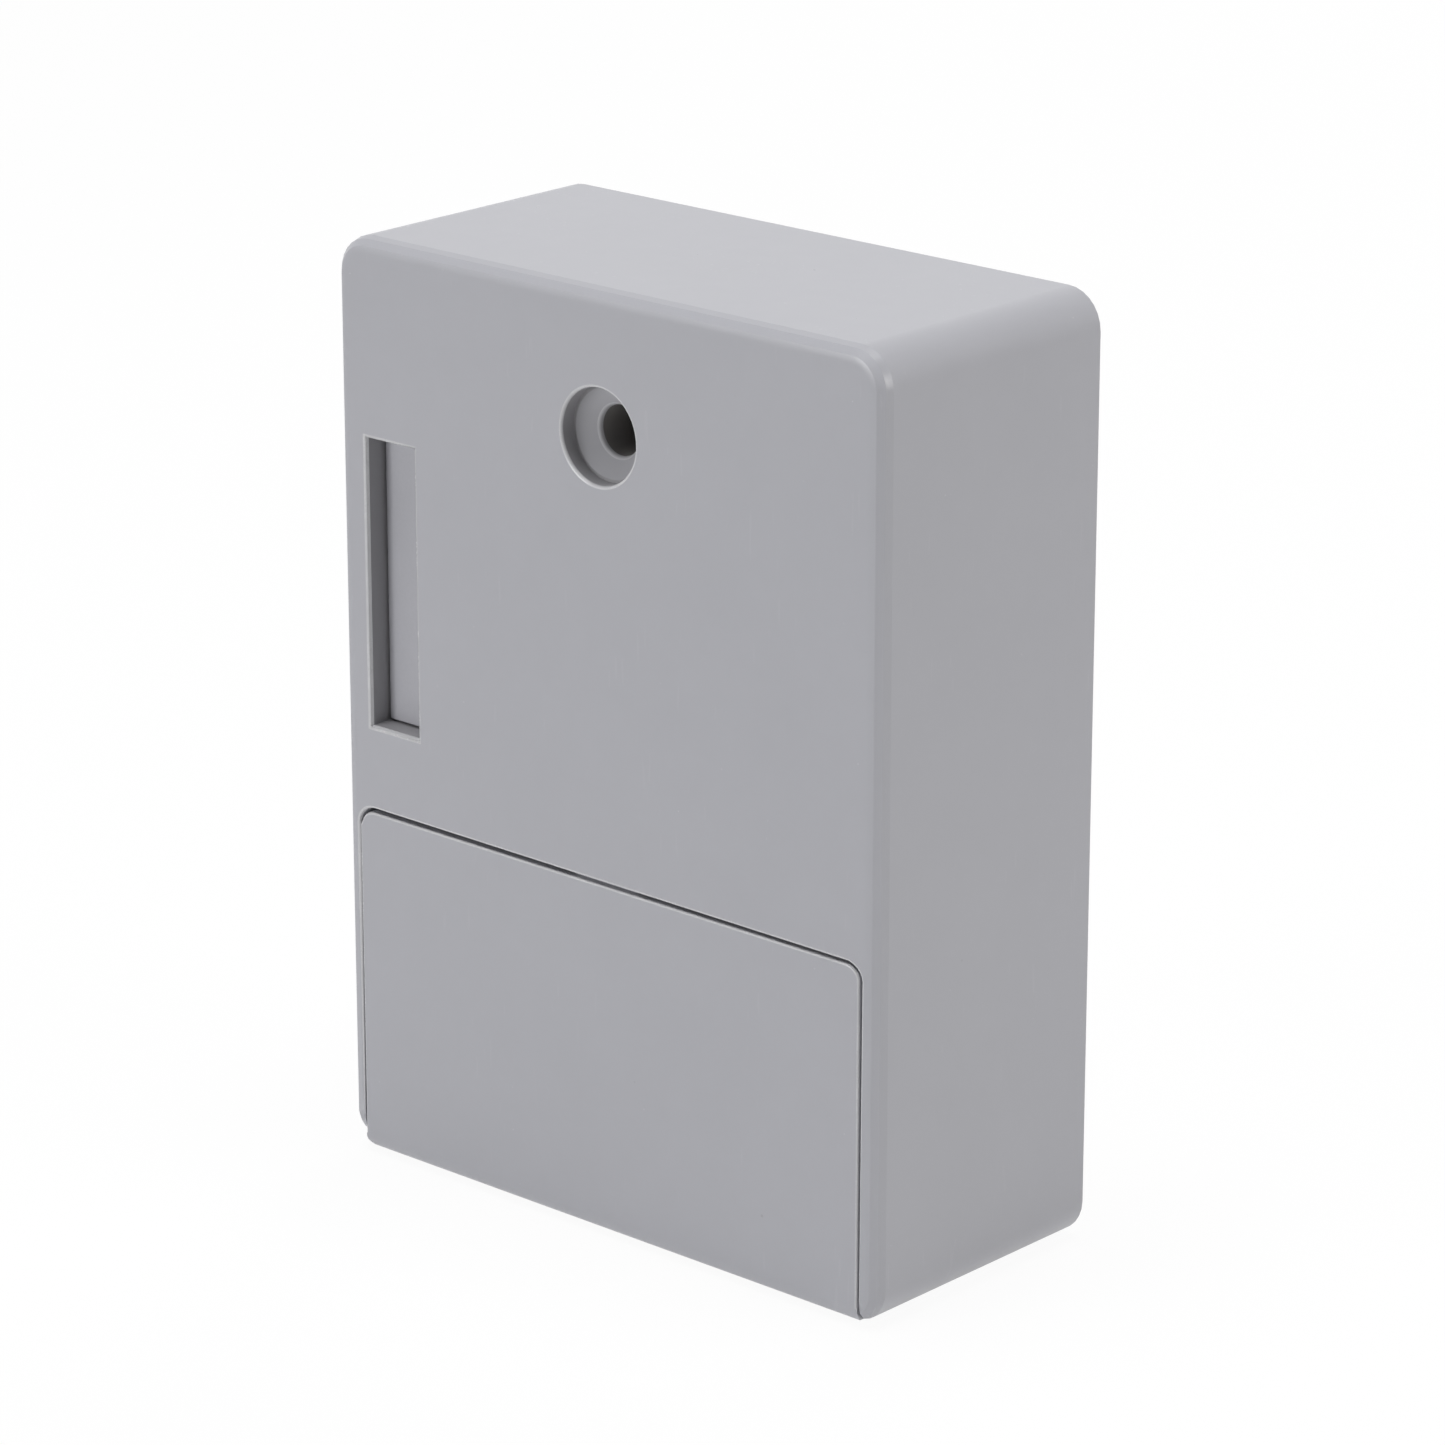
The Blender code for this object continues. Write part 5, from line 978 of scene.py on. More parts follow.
class Growth(NodeTree):
    """A Geometry Nodes tree with named inputs, which grows one plain mesh from seed points."""

    KINDS = {
        int: "NodeSocketInt",
        float: "NodeSocketFloat",
        Vector: "NodeSocketVector",
        bpy.types.Object: "NodeSocketObject",
    }

    def __init__(self, name: str) -> None:
        """Start a tree.

        Args:
            name: The name of the tree and of the mesh that it grows.
        """
        super().__init__(bpy.data.node_groups.new(name, "GeometryNodeTree"))
        self.name = name
        for title, side in (("Seed Points", "INPUT"), ("Grown", "OUTPUT")):
            self.tree.interface.new_socket(title, in_out=side, socket_type="NodeSocketGeometry")
        self.start = self.node("NodeGroupInput")
        self.values: dict[str, object] = {}

    def given(self, name: str, value: object) -> Signal:
        """Add a named input.

        Args:
            name: The input's name, used once in the tree.
            value: Its value, which is a number, a vector or an object.

        Returns:
            The input.
        """
        kind = self.KINDS[type(value)]
        item = self.tree.interface.new_socket(name, in_out="INPUT", socket_type=kind)
        self.values[item.identifier] = list(value) if isinstance(value, Vector) else value
        return Signal(self, self.start.outputs[name])

    def joined(self, *parts: Signal) -> Signal:
        """Return several geometries as one."""
        made = self.node("GeometryNodeJoinGeometry")
        for part in parts:
            self.feed(made.inputs[0], part)
        return Signal(self, made.outputs[0])

    def moved(self, geometry: Signal, shift: Signal | Point, turn: Point = (0, 0, 0)) -> Signal:
        """Turn a geometry and then move it.

        Args:
            geometry: The geometry.
            shift: How far it moves.
            turn: Its turn about each axis, in radians.

        Returns:
            The moved geometry.
        """
        sockets = {"Geometry": geometry, "Translation": shift, "Rotation": turn}
        return self.signal("GeometryNodeTransform", None, sockets)

    def cube(self, name: str, low: Point, high: Point) -> Signal:
        """Add a block between two corners.

        Args:
            name: The first word of its inputs' names.
            low: The lowest corner.
            high: The highest corner.

        Returns:
            The block.
        """
        low, high = Vector(low), Vector(high)
        size = self.given(f"{name} Size", high - low)
        made = self.signal("GeometryNodeMeshCube", None, {"Size": size})
        return self.moved(made, self.given(f"{name} Place", (low + high) / 2))

    def tube(self, path: Signal, radius: Signal, sides: int = 8) -> Signal:
        """Run a round wire along a path.

        Args:
            path: The path, a curve.
            radius: The wire's radius.
            sides: The number of faces round the wire.

        Returns:
            The wire.
        """
        ring = self.signal("GeometryNodeCurvePrimitiveCircle", None, {"Resolution": sides, "Radius": radius})
        sockets = {"Curve": path, "Profile Curve": ring, "Fill Caps": True}
        return self.signal("GeometryNodeCurveToMesh", None, sockets)

    def repeated(self, instance: Signal, turn: Signal | None = None) -> Signal:
        """Put an instance on every seed point.

        Args:
            instance: The geometry to repeat.
            turn: The turn about the y axis, or None for the seed points' own.

        Returns:
            The instances.
        """
        if turn is None:
            settings = {"data_type": "FLOAT"}
            turn = self.signal("GeometryNodeInputNamedAttribute", settings, {"Name": "turn"}, "Attribute")
        spun = self.signal("ShaderNodeCombineXYZ", None, {"Y": turn})
        seeds = Signal(self, self.start.outputs["Seed Points"])
        points = self.signal("GeometryNodeMeshToPoints", None, {"Mesh": seeds})
        sockets = {"Points": points, "Instance": instance, "Rotation": spun}
        return self.signal("GeometryNodeInstanceOnPoints", None, sockets)

    def grow(
        self,
        geometry: Signal,
        slot: Slot,
        seeds: Sequence[Point] = ((0, 0, 0),),
        turns: Sequence[float] = (),
    ) -> bpy.types.Mesh:
        """Realise the tree and turn it into a plain mesh.

        Args:
            geometry: What the tree makes.
            slot: The material slot that it takes its finish from.
            seeds: The points that it grows from.
            turns: The turn of each point about the y axis, in radians.

        Returns:
            The mesh, merged and with its faces pointing outwards.
        """
        real = self.signal("GeometryNodeRealizeInstances", None, {"Geometry": geometry})
        sockets = {"Geometry": real, "Material": Store.material(slot)}
        dressed = self.signal("GeometryNodeSetMaterial", None, sockets)
        self.node("NodeGroupOutput", None, {0: dressed})
        seed = bpy.data.meshes.new("seed")
        seed.from_pydata([tuple(point) for point in seeds], [], [])
        if turns:
            seed.attributes.new("turn", "FLOAT", "POINT").data.foreach_set("value", list(turns))
        holder = bpy.data.objects.new(self.name, seed)
        bpy.context.scene.collection.objects.link(holder)
        modifier = holder.modifiers.new("growth", "NODES")
        modifier.node_group = self.tree
        for identifier, value in self.values.items():
            modifier[identifier] = value
        evaluated = holder.evaluated_get(bpy.context.evaluated_depsgraph_get())
        grown = bpy.data.meshes.new_from_object(evaluated)
        holder.modifiers.remove(modifier)
        bpy.data.objects.remove(holder)
        bm = bmesh.new()
        bm.from_mesh(grown)
        bmesh.ops.remove_doubles(bm, verts=bm.verts, dist=FINE)
        bmesh.ops.recalc_face_normals(bm, faces=bm.faces)
        bm.to_mesh(grown)
        bm.free()
        grown.name = self.name
        return grown


def facing(place: Point, target: Point) -> Euler:
    """Return the rotation of a camera or lamp that looks from one point to another."""
    return (Vector(target) - Vector(place)).to_track_quat("-Z", "Y").to_euler()


def centre(node: str) -> Vector:
    """Return the middle of a node's box."""
    low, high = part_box(node)
    return (low + high) / 2


@dataclass
class CoilSpring:
    """A spring wound from round wire."""

    turns: float
    start_radius: float
    end_radius: float
    wire: float
    steps: int = 28

    def mesh(self, name: str, start: Point, height: float, turn: Point) -> bpy.types.Mesh:
        """Wind the spring.

        Args:
            name: The mesh's name.
            start: The middle of its first turn.
            height: Its length along the axis.
            turn: The turn that lays its axis from z, in radians.

        Returns:
            The spring.
        """
        growth = Growth(name)
        sockets = {
            "Resolution": self.steps,
            "Rotations": growth.given("Turns", self.turns),
            "Start Radius": growth.given("Start Radius", self.start_radius),
            "End Radius": growth.given("End Radius", self.end_radius),
            "Height": growth.given("Height", height),
        }
        path = growth.signal("GeometryNodeCurveSpiral", None, sockets)
        coil = growth.tube(path, growth.given("Wire Radius", self.wire))
        return growth.grow(growth.moved(coil, start, turn), Slot.STEEL)


@dataclass
class Seam:
    """One edge of the battery door's seam, which the photo shows a little askew and with tight corners."""

    side: float
    top: float
    old_radius: float
    radius: float
    right_drop: float
    left_reach: float = 0
    left_drop: float = 0.0003
    fade: float = 0.004
    depth: float = 0.0021
    corner_height: float = 0.006

    def settle(self, bm: bmesh.types.BMesh, front: float) -> None:
        """Bring the edge to the photo's line.

        Args:
            bm: The mesh that the edge belongs to.
            front: Where the front face lies.
        """
        scale = self.radius / self.old_radius
        for vert in bm.verts:
            x, y, z = vert.co
            if y > front + self.depth or abs(x) > self.side + NEAR or z > self.top + NEAR:
                continue
            if abs(x + self.side) < NEAR:
                vert.co.x -= self.left_reach
            if z < self.top - self.corner_height:
                continue
            across, below = self.side - abs(x), self.top - z
            if max(across, below) < self.old_radius + NEAR:
                across, below = across * scale, below * scale
                x, z = math.copysign(self.side - across, x), self.top - below
                vert.co.x = x - (self.left_reach if across < NEAR and x < 0 else 0)
            share = (x + self.side) / (2 * self.side)
            drop = self.left_drop + (self.right_drop - self.left_drop) * share
            vert.co.z = z - drop * max(0, 1 - (self.top - z) / self.fade)


@dataclass
class Case:
    """The moulded shell with its screw seat, and the back cover."""

    rim_round: float = 0.00036
    slot_round: float = 0.0005
    bore_round: float = 0.0008
    seat_radius: float = 0.00587
    seat_depth: float = 0.0021
    cone_radius: float = 0.0055
    cone_depth: float = 0.0017
    bore_radius: float = 0.00309
    plug_radius: float = 0.0066
    plug_depth: float = 0.0042
    hole_drop: float = 0.0175
    lead_in: float = 0.001
    steps: int = 96
    mouth_steps: int = 4
    neck_steps: int = 3
    mouth_angle: float = 25  # degrees: the shell's edges above it stay sharp
    # The neck's rim mark paints a weaker highlight on the cone's inner edge.
    neck_rim_share: float = 0.8  # how strongly the neck is marked as a rim
    cover_round: float = 0.00015
    # Painted shade on the seat wall and the slot walls; the cone takes half of it and the bore all.
    recess_shade: float = 0.45
    slot_gap: float = 0.0004
    slot_right: float = -0.029
    slot_foot: float = 0.055
    strip_rise: float = 0.0014
    strip_width: float = 0.0024
    strip_depth: float = 0.0012
    strip_height: float = 0.0042
    seam: Seam = field(
        default_factory=lambda: Seam(
            side=0.04095, top=0.04625, old_radius=0.00385, radius=0.0026, right_drop=0.00093
        )
    )

    def __post_init__(self) -> None:
        """Take the front face and the screw hole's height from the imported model."""
        low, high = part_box("front_housing")
        self.front_y, self.back_y = low.y, high.y
        self.hole_z = high.z - self.hole_drop

    def build(self) -> None:
        """Build the shell and the cover."""
        self.shell()
        refine("back_cover", "rear_cover", Slot.HOUSING, Body.LOCK, self.cover_round, self.at_back)

    def shell(self) -> None:
        """Build the shell with a finely turned screw seat and soft rims round its openings."""
        at_hole = along_y(0, self.front_y, self.hole_z)
        plug = can_profile(self.plug_radius, self.plug_depth, ((0, 0),), ((0, 0),))
        bm = combined(clean_copy("front_housing"), lathe(plug, at_hole), Cut.ADD)
        bm = combined(bm, lathe(self.seat_profile(), at_hole, self.steps), Cut.TAKE)
        clear_flats(bm)
        self.seam.settle(bm, self.front_y)
        self.raise_strip(bm)
        round_edges(bm, self.slot_round, lambda edge: self.at_front_rim(edge) and self.by_slot(edge))
        round_edges(bm, self.rim_round, lambda edge: self.at_front_rim(edge) and not self.by_slot(edge))
        self.mark(bm)
        shell = add_piece(mesh_from(bm, "case_shell"), Slot.HOUSING, Body.LOCK, ["front_housing"])
        soften(shell, self.mouth_angle)
        self.crease_mouth(shell.data)

    def crease_mouth(self, mesh: bpy.types.Mesh) -> None:
        """Keep the front face's shading flat up to the mouth of the screw seat."""
        for edge in mesh.edges:
            ends = [mesh.vertices[index].co for index in edge.vertices]
            level = all(point.y < self.front_y + NEAR for point in ends)
            if level and all(self.reach(point) < self.plug_radius for point in ends):
                edge.use_edge_sharp = True

    def reach(self, point: Vector) -> float:
        """Return how far a point lies from the screw hole's axis."""
        return math.hypot(point.x, point.z - self.hole_z)

    def seat_profile(self) -> list[tuple[float, float]]:
        """Return the cutter's profile: rounded mouth, counterbore, cone and bore."""
        turns = [math.radians(90 * step / self.mouth_steps) for step in range(self.mouth_steps + 1)]
        rim = self.rim_round
        mouth = [(self.seat_radius + rim - rim * math.sin(t), rim - rim * math.cos(t)) for t in turns]
        shoulder = [(self.seat_radius, self.seat_depth), (self.cone_radius, self.seat_depth)]
        slope = math.atan2(self.cone_depth, self.cone_radius - self.bore_radius)
        reach = self.bore_round * math.tan((math.pi / 2 - slope) / 2)
        end = self.seat_depth + self.cone_depth
        neck = []
        for step in range(self.neck_steps + 1):
            turn = (math.pi / 2 - slope) * (1 - step / self.neck_steps)
            radius = self.bore_radius + self.bore_round * (1 - math.cos(turn))
            neck.append((radius, end + reach - self.bore_round * math.sin(turn)))
        depth = self.back_y - self.front_y
        first = [(0, -self.lead_in), (mouth[0][0], -self.lead_in)]
        return first + mouth + shoulder + neck + [(self.bore_radius, depth), (0, depth)]

    def mark(self, bm: bmesh.types.BMesh) -> None:
        """Mark a painted highlight on the screw seat's rims, and painted shade in the bore, the cone, the seat
        wall and the slot walls.
        """
        rim = bm.faces.layers.float.get("rim")
        deep = bm.faces.layers.float.new("deep")
        neck = self.seat_depth + self.cone_depth
        for face in bm.faces:
            reach = [self.reach(vert.co) for vert in face.verts]
            depths = [vert.co.y - self.front_y for vert in face.verts]
            narrow = max(reach) - min(reach) < self.rim_round
            # Painted highlight on the mouth's rounding and, weaker, on the neck.
            if narrow and min(reach) > self.seat_radius - NEAR and max(depths) < self.rim_round + NEAR:
                face[rim] = 1.0
            elif narrow and max(reach) < self.cone_radius * 0.7 and max(depths) < neck + self.bore_round:
                face[rim] = self.neck_rim_share
            # Painted shade: the bore darkest, the seat wall and slot walls at recess_shade, the cone at half.
            elif max(reach) < self.bore_radius + NEAR:
                face[deep] = 1.0
            elif max(reach) < self.cone_radius + NEAR and max(depths) < neck:
                face[deep] = self.recess_shade / 2
            elif max(reach) < self.seat_radius + NEAR and max(depths) < neck:
                face[deep] = self.recess_shade
            elif self.in_slot(face):
                face[deep] = self.recess_shade

    def at_front_rim(self, edge: bmesh.types.BMEdge) -> bool:
        """Return whether an edge of an opening lies in the front face, away from the screw seat."""
        middle = (edge.verts[0].co + edge.verts[1].co) / 2
        clear = self.reach(middle) > self.plug_radius
        return clear and all(vert.co.y < self.front_y + NEAR for vert in edge.verts)

    def in_slot(self, face: bmesh.types.BMFace) -> bool:
        """Return whether a face is a wall of the hook's slot."""
        low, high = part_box("ejector_block")
        gap = self.slot_gap
        return all(
            low.x - gap < vert.co.x < high.x + gap
            and low.z - gap < vert.co.z < high.z + gap
            and vert.co.y > self.front_y + self.slot_round - NEAR
            for vert in face.verts
        )

    def by_slot(self, edge: bmesh.types.BMEdge) -> bool:
        """Return whether an edge belongs to the hook's slot."""
        return all(vert.co.x < self.slot_right and vert.co.z > self.slot_foot for vert in edge.verts)

    def raise_strip(self, bm: bmesh.types.BMesh) -> None:
        """Lift the lower end of the narrow strip left of the door, as in the photo."""
        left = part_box("front_housing")[0].x
        for vert in bm.verts:
            across = vert.co.x - left
            low = vert.co.z < self.strip_height and vert.co.y < self.front_y + self.strip_depth
            if low and across < self.strip_width + NEAR:
                vert.co.z += self.strip_rise * across / self.strip_width

    def at_back(self, edge: bmesh.types.BMEdge) -> bool:
        """Return whether an edge lies in the back face."""
        return all(vert.co.y > self.back_y - NEAR for vert in edge.verts)


@dataclass
class BatteryBay:
    """The door, the cells with their contacts and springs, and the setup button."""

    door_round: float = 0.00028
    cells: int = 4
    cell_radius: float = 0.00525
    cell_edge: float = 0.0005
    shoulder_radius: float = 0.0047
    fold: Point2 = (0.0001, 0.0004)  # the sleeve's lip, and how far it is tucked in
    nub_radius: float = 0.0019
    nub_length: float = 0.001
    nub_round: float = 0.0002
    can_slack: float = 0.00004
    flat_end: Profile = ((0.0028, 0.00012), (0.0031, 0.0003))  # radius and depth of each step
    nub_end: Profile = ((0.0027, 0.0003), (0.0025, 0.0001))
    seam: Seam = field(
        default_factory=lambda: Seam(
            side=0.0406, top=0.04575, old_radius=0.0035, radius=0.0022, right_drop=0.00075, left_reach=0.0002
        )
    )
    spring: CoilSpring = field(
        default_factory=lambda: CoilSpring(turns=3.0, start_radius=0.003, end_radius=0.0018, wire=0.0003)
    )

    def build(self) -> None:
        """Build every piece of the bay."""
        self.door()
        for number in range(1, self.cells + 1):
            self.cell(number)
            self.cell_spring(number)
        for place in ("left_lower", "left_upper", "right_bottom", "right_middle", "right_top"):
            refine(f"contact_plate_{place}", f"contact_{place}", Slot.STEEL, Body.LOCK, width=0.0001)
        refine("setup_button", "pairing_button", Slot.BLACK, Body.BUTTON, width=0.0002)
        refine("setup_switch", "pairing_switch", Slot.BLACK, Body.LOCK, width=0.0001)

    def door(self) -> None:
        """Build the door with soft rims."""
        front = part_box("battery_door")[0].y
        bm = clean_copy("battery_door")
        self.seam.settle(bm, front)
        round_edges(bm, self.door_round, lambda edge: all(vert.co.y < front + NEAR for vert in edge.verts))
        soften(add_piece(mesh_from(bm, "bay_door"), Slot.HOUSING, Body.DOOR, ["battery_door"]))

    def side(self, number: int) -> int:
        """Return 1 where a cell's nub points to +x, and else -1."""
        return 1 if number % 2 else -1

    def cell(self, number: int) -> None:
        """Build one cell: its printed sleeve and its steel ends."""
        node = f"battery_cell_{number}"
        low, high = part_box(node)
        middle = (low + high) / 2
        side = self.side(number)
        flat = low.x if side > 0 else high.x
        length = high.x - low.x - self.nub_length
        place = along_x(flat, middle.y, middle.z, side)
        edge, wide = self.cell_edge, self.cell_radius
        lip, tuck = self.fold
        neck = self.shoulder_radius
        sleeve = [(neck, lip), (wide - edge, 0), (wide - edge * 0.3, edge * 0.3), (wide, edge)]
        rest = [(radius, length - height) for radius, height in reversed(sleeve)]
        inside = [(neck, length - tuck), (neck, tuck), sleeve[0]]
        mesh = mesh_from(self.tidied(lathe(sleeve + rest + inside, place)), f"dry_cell_{number}")
        write_value(mesh, "along", lambda point: abs(point.x - flat))
        write_value(mesh, "around", lambda point: self.cell_radius * self.angle(point, middle, side))
        soften(add_piece(mesh, Slot.JACKET, Body.LOCK, [node]), angle=50)
        can = mesh_from(self.tidied(lathe(self.can_outline(length), place)), f"dry_cell_{number}_can")
        soften(add_piece(can, Slot.STEEL, Body.LOCK, [node]), angle=40)

    def can_outline(self, length: float) -> list[tuple[float, float]]:
        """Return the outline of a cell's steel can.

        Args:
            length: The cell's length without its nub.

        Returns:
            Radius and height of each point, from the flat end to the nub's end.
        """
        wide, nub, soft = self.shoulder_radius - self.can_slack, self.nub_radius, self.nub_round
        sunk, (_, ledge) = self.flat_end[-1][1], self.nub_end[-1]
        top = length + self.nub_length
        flat = [(0, self.flat_end[0][1]), *self.flat_end, (wide, sunk)]
        shoulder = [(wide, length - sunk)] + [(radius, length - depth) for radius, depth in self.nub_end]
        foot = [(nub + soft, length - ledge), (nub, length + ledge)]
        return flat + shoulder + foot + [(nub, top - soft), (nub - soft, top), (0, top)]

    @staticmethod
    def tidied(bm: bmesh.types.BMesh) -> bmesh.types.BMesh:
        """Return a turned mesh with its doubles merged and its faces outwards."""
        bmesh.ops.remove_doubles(bm, verts=bm.verts, dist=FINE * 2)
        bmesh.ops.recalc_face_normals(bm, faces=bm.faces)
        return bm

    @staticmethod
    def angle(point: Vector, middle: Vector, side: int) -> float:
        """Return the turn from a cell's front line, in radians."""
        return side * math.atan2(point.z - middle.z, middle.y - point.y)

    def cell_spring(self, number: int) -> None:
        """Wind the spring at a cell's flat end."""
        node = f"battery_spring_{number}"
        low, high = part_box(node)
        side = self.side(number)
        middle = centre(f"battery_cell_{number}")
        wire = self.spring.wire
        start = low.x + wire if side > 0 else high.x - wire
        turn = (0, QUARTER * side, 0)
        height = high.x - low.x - 2 * wire
        mesh = self.spring.mesh(f"cell_spring_{number}", (start, middle.y, middle.z), height, turn)
        soften(add_piece(mesh, Slot.STEEL, Body.LOCK, [node]), angle=60)


@dataclass
class HookLatch:
    """The ejector in the slot, its springs and cap, and the switch that feels the hook."""

    edge_round: float = 0.00012
    corner: float = 0.001
    small_corner: float = 0.00025
    travel: float = 0.011
    spring: CoilSpring = field(
        default_factory=lambda: CoilSpring(turns=8.0, start_radius=0.002, end_radius=0.002, wire=0.000275)
    )

    def build(self) -> None:
        """Build every piece of the latch."""
        self.ejector()
        refine("channel_cap", "slot_cap", Slot.BLACK, Body.LOCK, width=0.00015)
        wire = self.spring.wire
        for place in ("lower", "upper"):
            low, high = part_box(f"ejector_spring_{place}")
            middle = (low + high) / 2
            start = (middle.x, low.y + wire, middle.z)
            height = high.y - low.y - 2 * wire
            mesh = self.spring.mesh(f"slot_spring_{place}", start, height, (-QUARTER, 0, 0))
            spring = add_piece(mesh, Slot.STEEL, Body.LOCK, [f"ejector_spring_{place}"])
            soften(spring, angle=60)
            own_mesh(spring)
        refine("hook_switch", "slot_switch", Slot.BLACK, Body.LOCK, width=0.00012)
        refine("hook_switch_plunger", "slot_switch_plunger", Slot.WHITE, Body.PLUNGER)

    def ejector(self) -> None:
        """Build the ejector with tighter corners, which fill the slot's corners as in the photo."""
        low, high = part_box("ejector_block")
        bm = clean_copy("ejector_block")
        for vert in bm.verts:
            ends = [(k, low[k] if vert.co[k] - low[k] < high[k] - vert.co[k] else high[k]) for k in (0, 2)]
            if all(abs(vert.co[k] - end) < self.corner - WELD for k, end in ends):
                for k, end in ends:
                    vert.co[k] = end + (vert.co[k] - end) * self.small_corner / self.corner
        round_edges(bm, self.edge_round, lambda edge: all(v.co.y < low.y + NEAR for v in edge.verts))
        soften(add_piece(mesh_from(bm, "slot_ejector"), Slot.EJECTOR, Body.EJECTOR, ["ejector_block"]))


@dataclass
class Drive:
    """The bolt, the gears, the motor and the cover over them."""

    tab_thickness: float = 0.0005
    tab_width: float = 0.0018
    tab_length: float = 0.0016
    tab_offset: float = 0.003
    crimp: float = 0.0004
    hub_radius: float = 0.0017
    hub_height: float = 0.0002

    def build(self) -> None:
        """Build every piece of the drive."""
        refine("locking_bolt", "slide_bolt", Slot.ZINC, Body.BOLT)
        refine("reduction_gear", "two_step_gear", Slot.ACETAL, Body.GEAR)
        refine("gear_axle", "gear_pin", Slot.STEEL, Body.LOCK)
        refine("motor_pinion", "drive_pinion", Slot.BRASS, Body.ROTOR)
        refine("motor_shaft", "drive_shaft", Slot.STEEL, Body.ROTOR)
        refine("mechanism_cover", "drive_cover", Slot.BLACK, Body.LOCK, width=0.00015)
        refine("motor_can", "drive_motor", Slot.STEEL, Body.LOCK, width=0.0003)
        self.end_cap()

    def end_cap(self) -> None:
        """Build the motor's end cap with a raised hub, and its two brass tabs."""
        low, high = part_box("motor_end_cap")
        middle = (low + high) / 2
        depth = high.y - low.y - self.tab_length
        wide = (high.x - low.x) / 2
        crimp, hub, step = self.crimp, self.hub_radius, self.hub_height
        wall = [(0, 0), (wide - crimp, 0), (wide, crimp), (wide, depth - crimp), (wide - crimp, depth - step)]
        raised = [(hub + step, depth - step), (hub, depth), (0, depth)]
        cap = lathe(wall + raised, along_y(middle.x, low.y, middle.z))
        soften(add_piece(mesh_from(cap, "drive_motor_cap"), Slot.BLACK, Body.LOCK, ["motor_end_cap"]))
        growth = Growth("drive_motor_tabs")
        half, back = self.tab_thickness / 2, self.tab_width / 2
        tab = growth.cube("Tab", (-half, 0, -back), (half, self.tab_length, back))
        seeds = [(middle.x + side * self.tab_offset, low.y + depth - step, middle.z) for side in (-1, 1)]
        mesh = growth.grow(growth.repeated(tab), Slot.BRASS, seeds, [0.0, 0.0])
        soften(add_piece(mesh, Slot.BRASS, Body.LOCK, ["motor_end_cap"]))


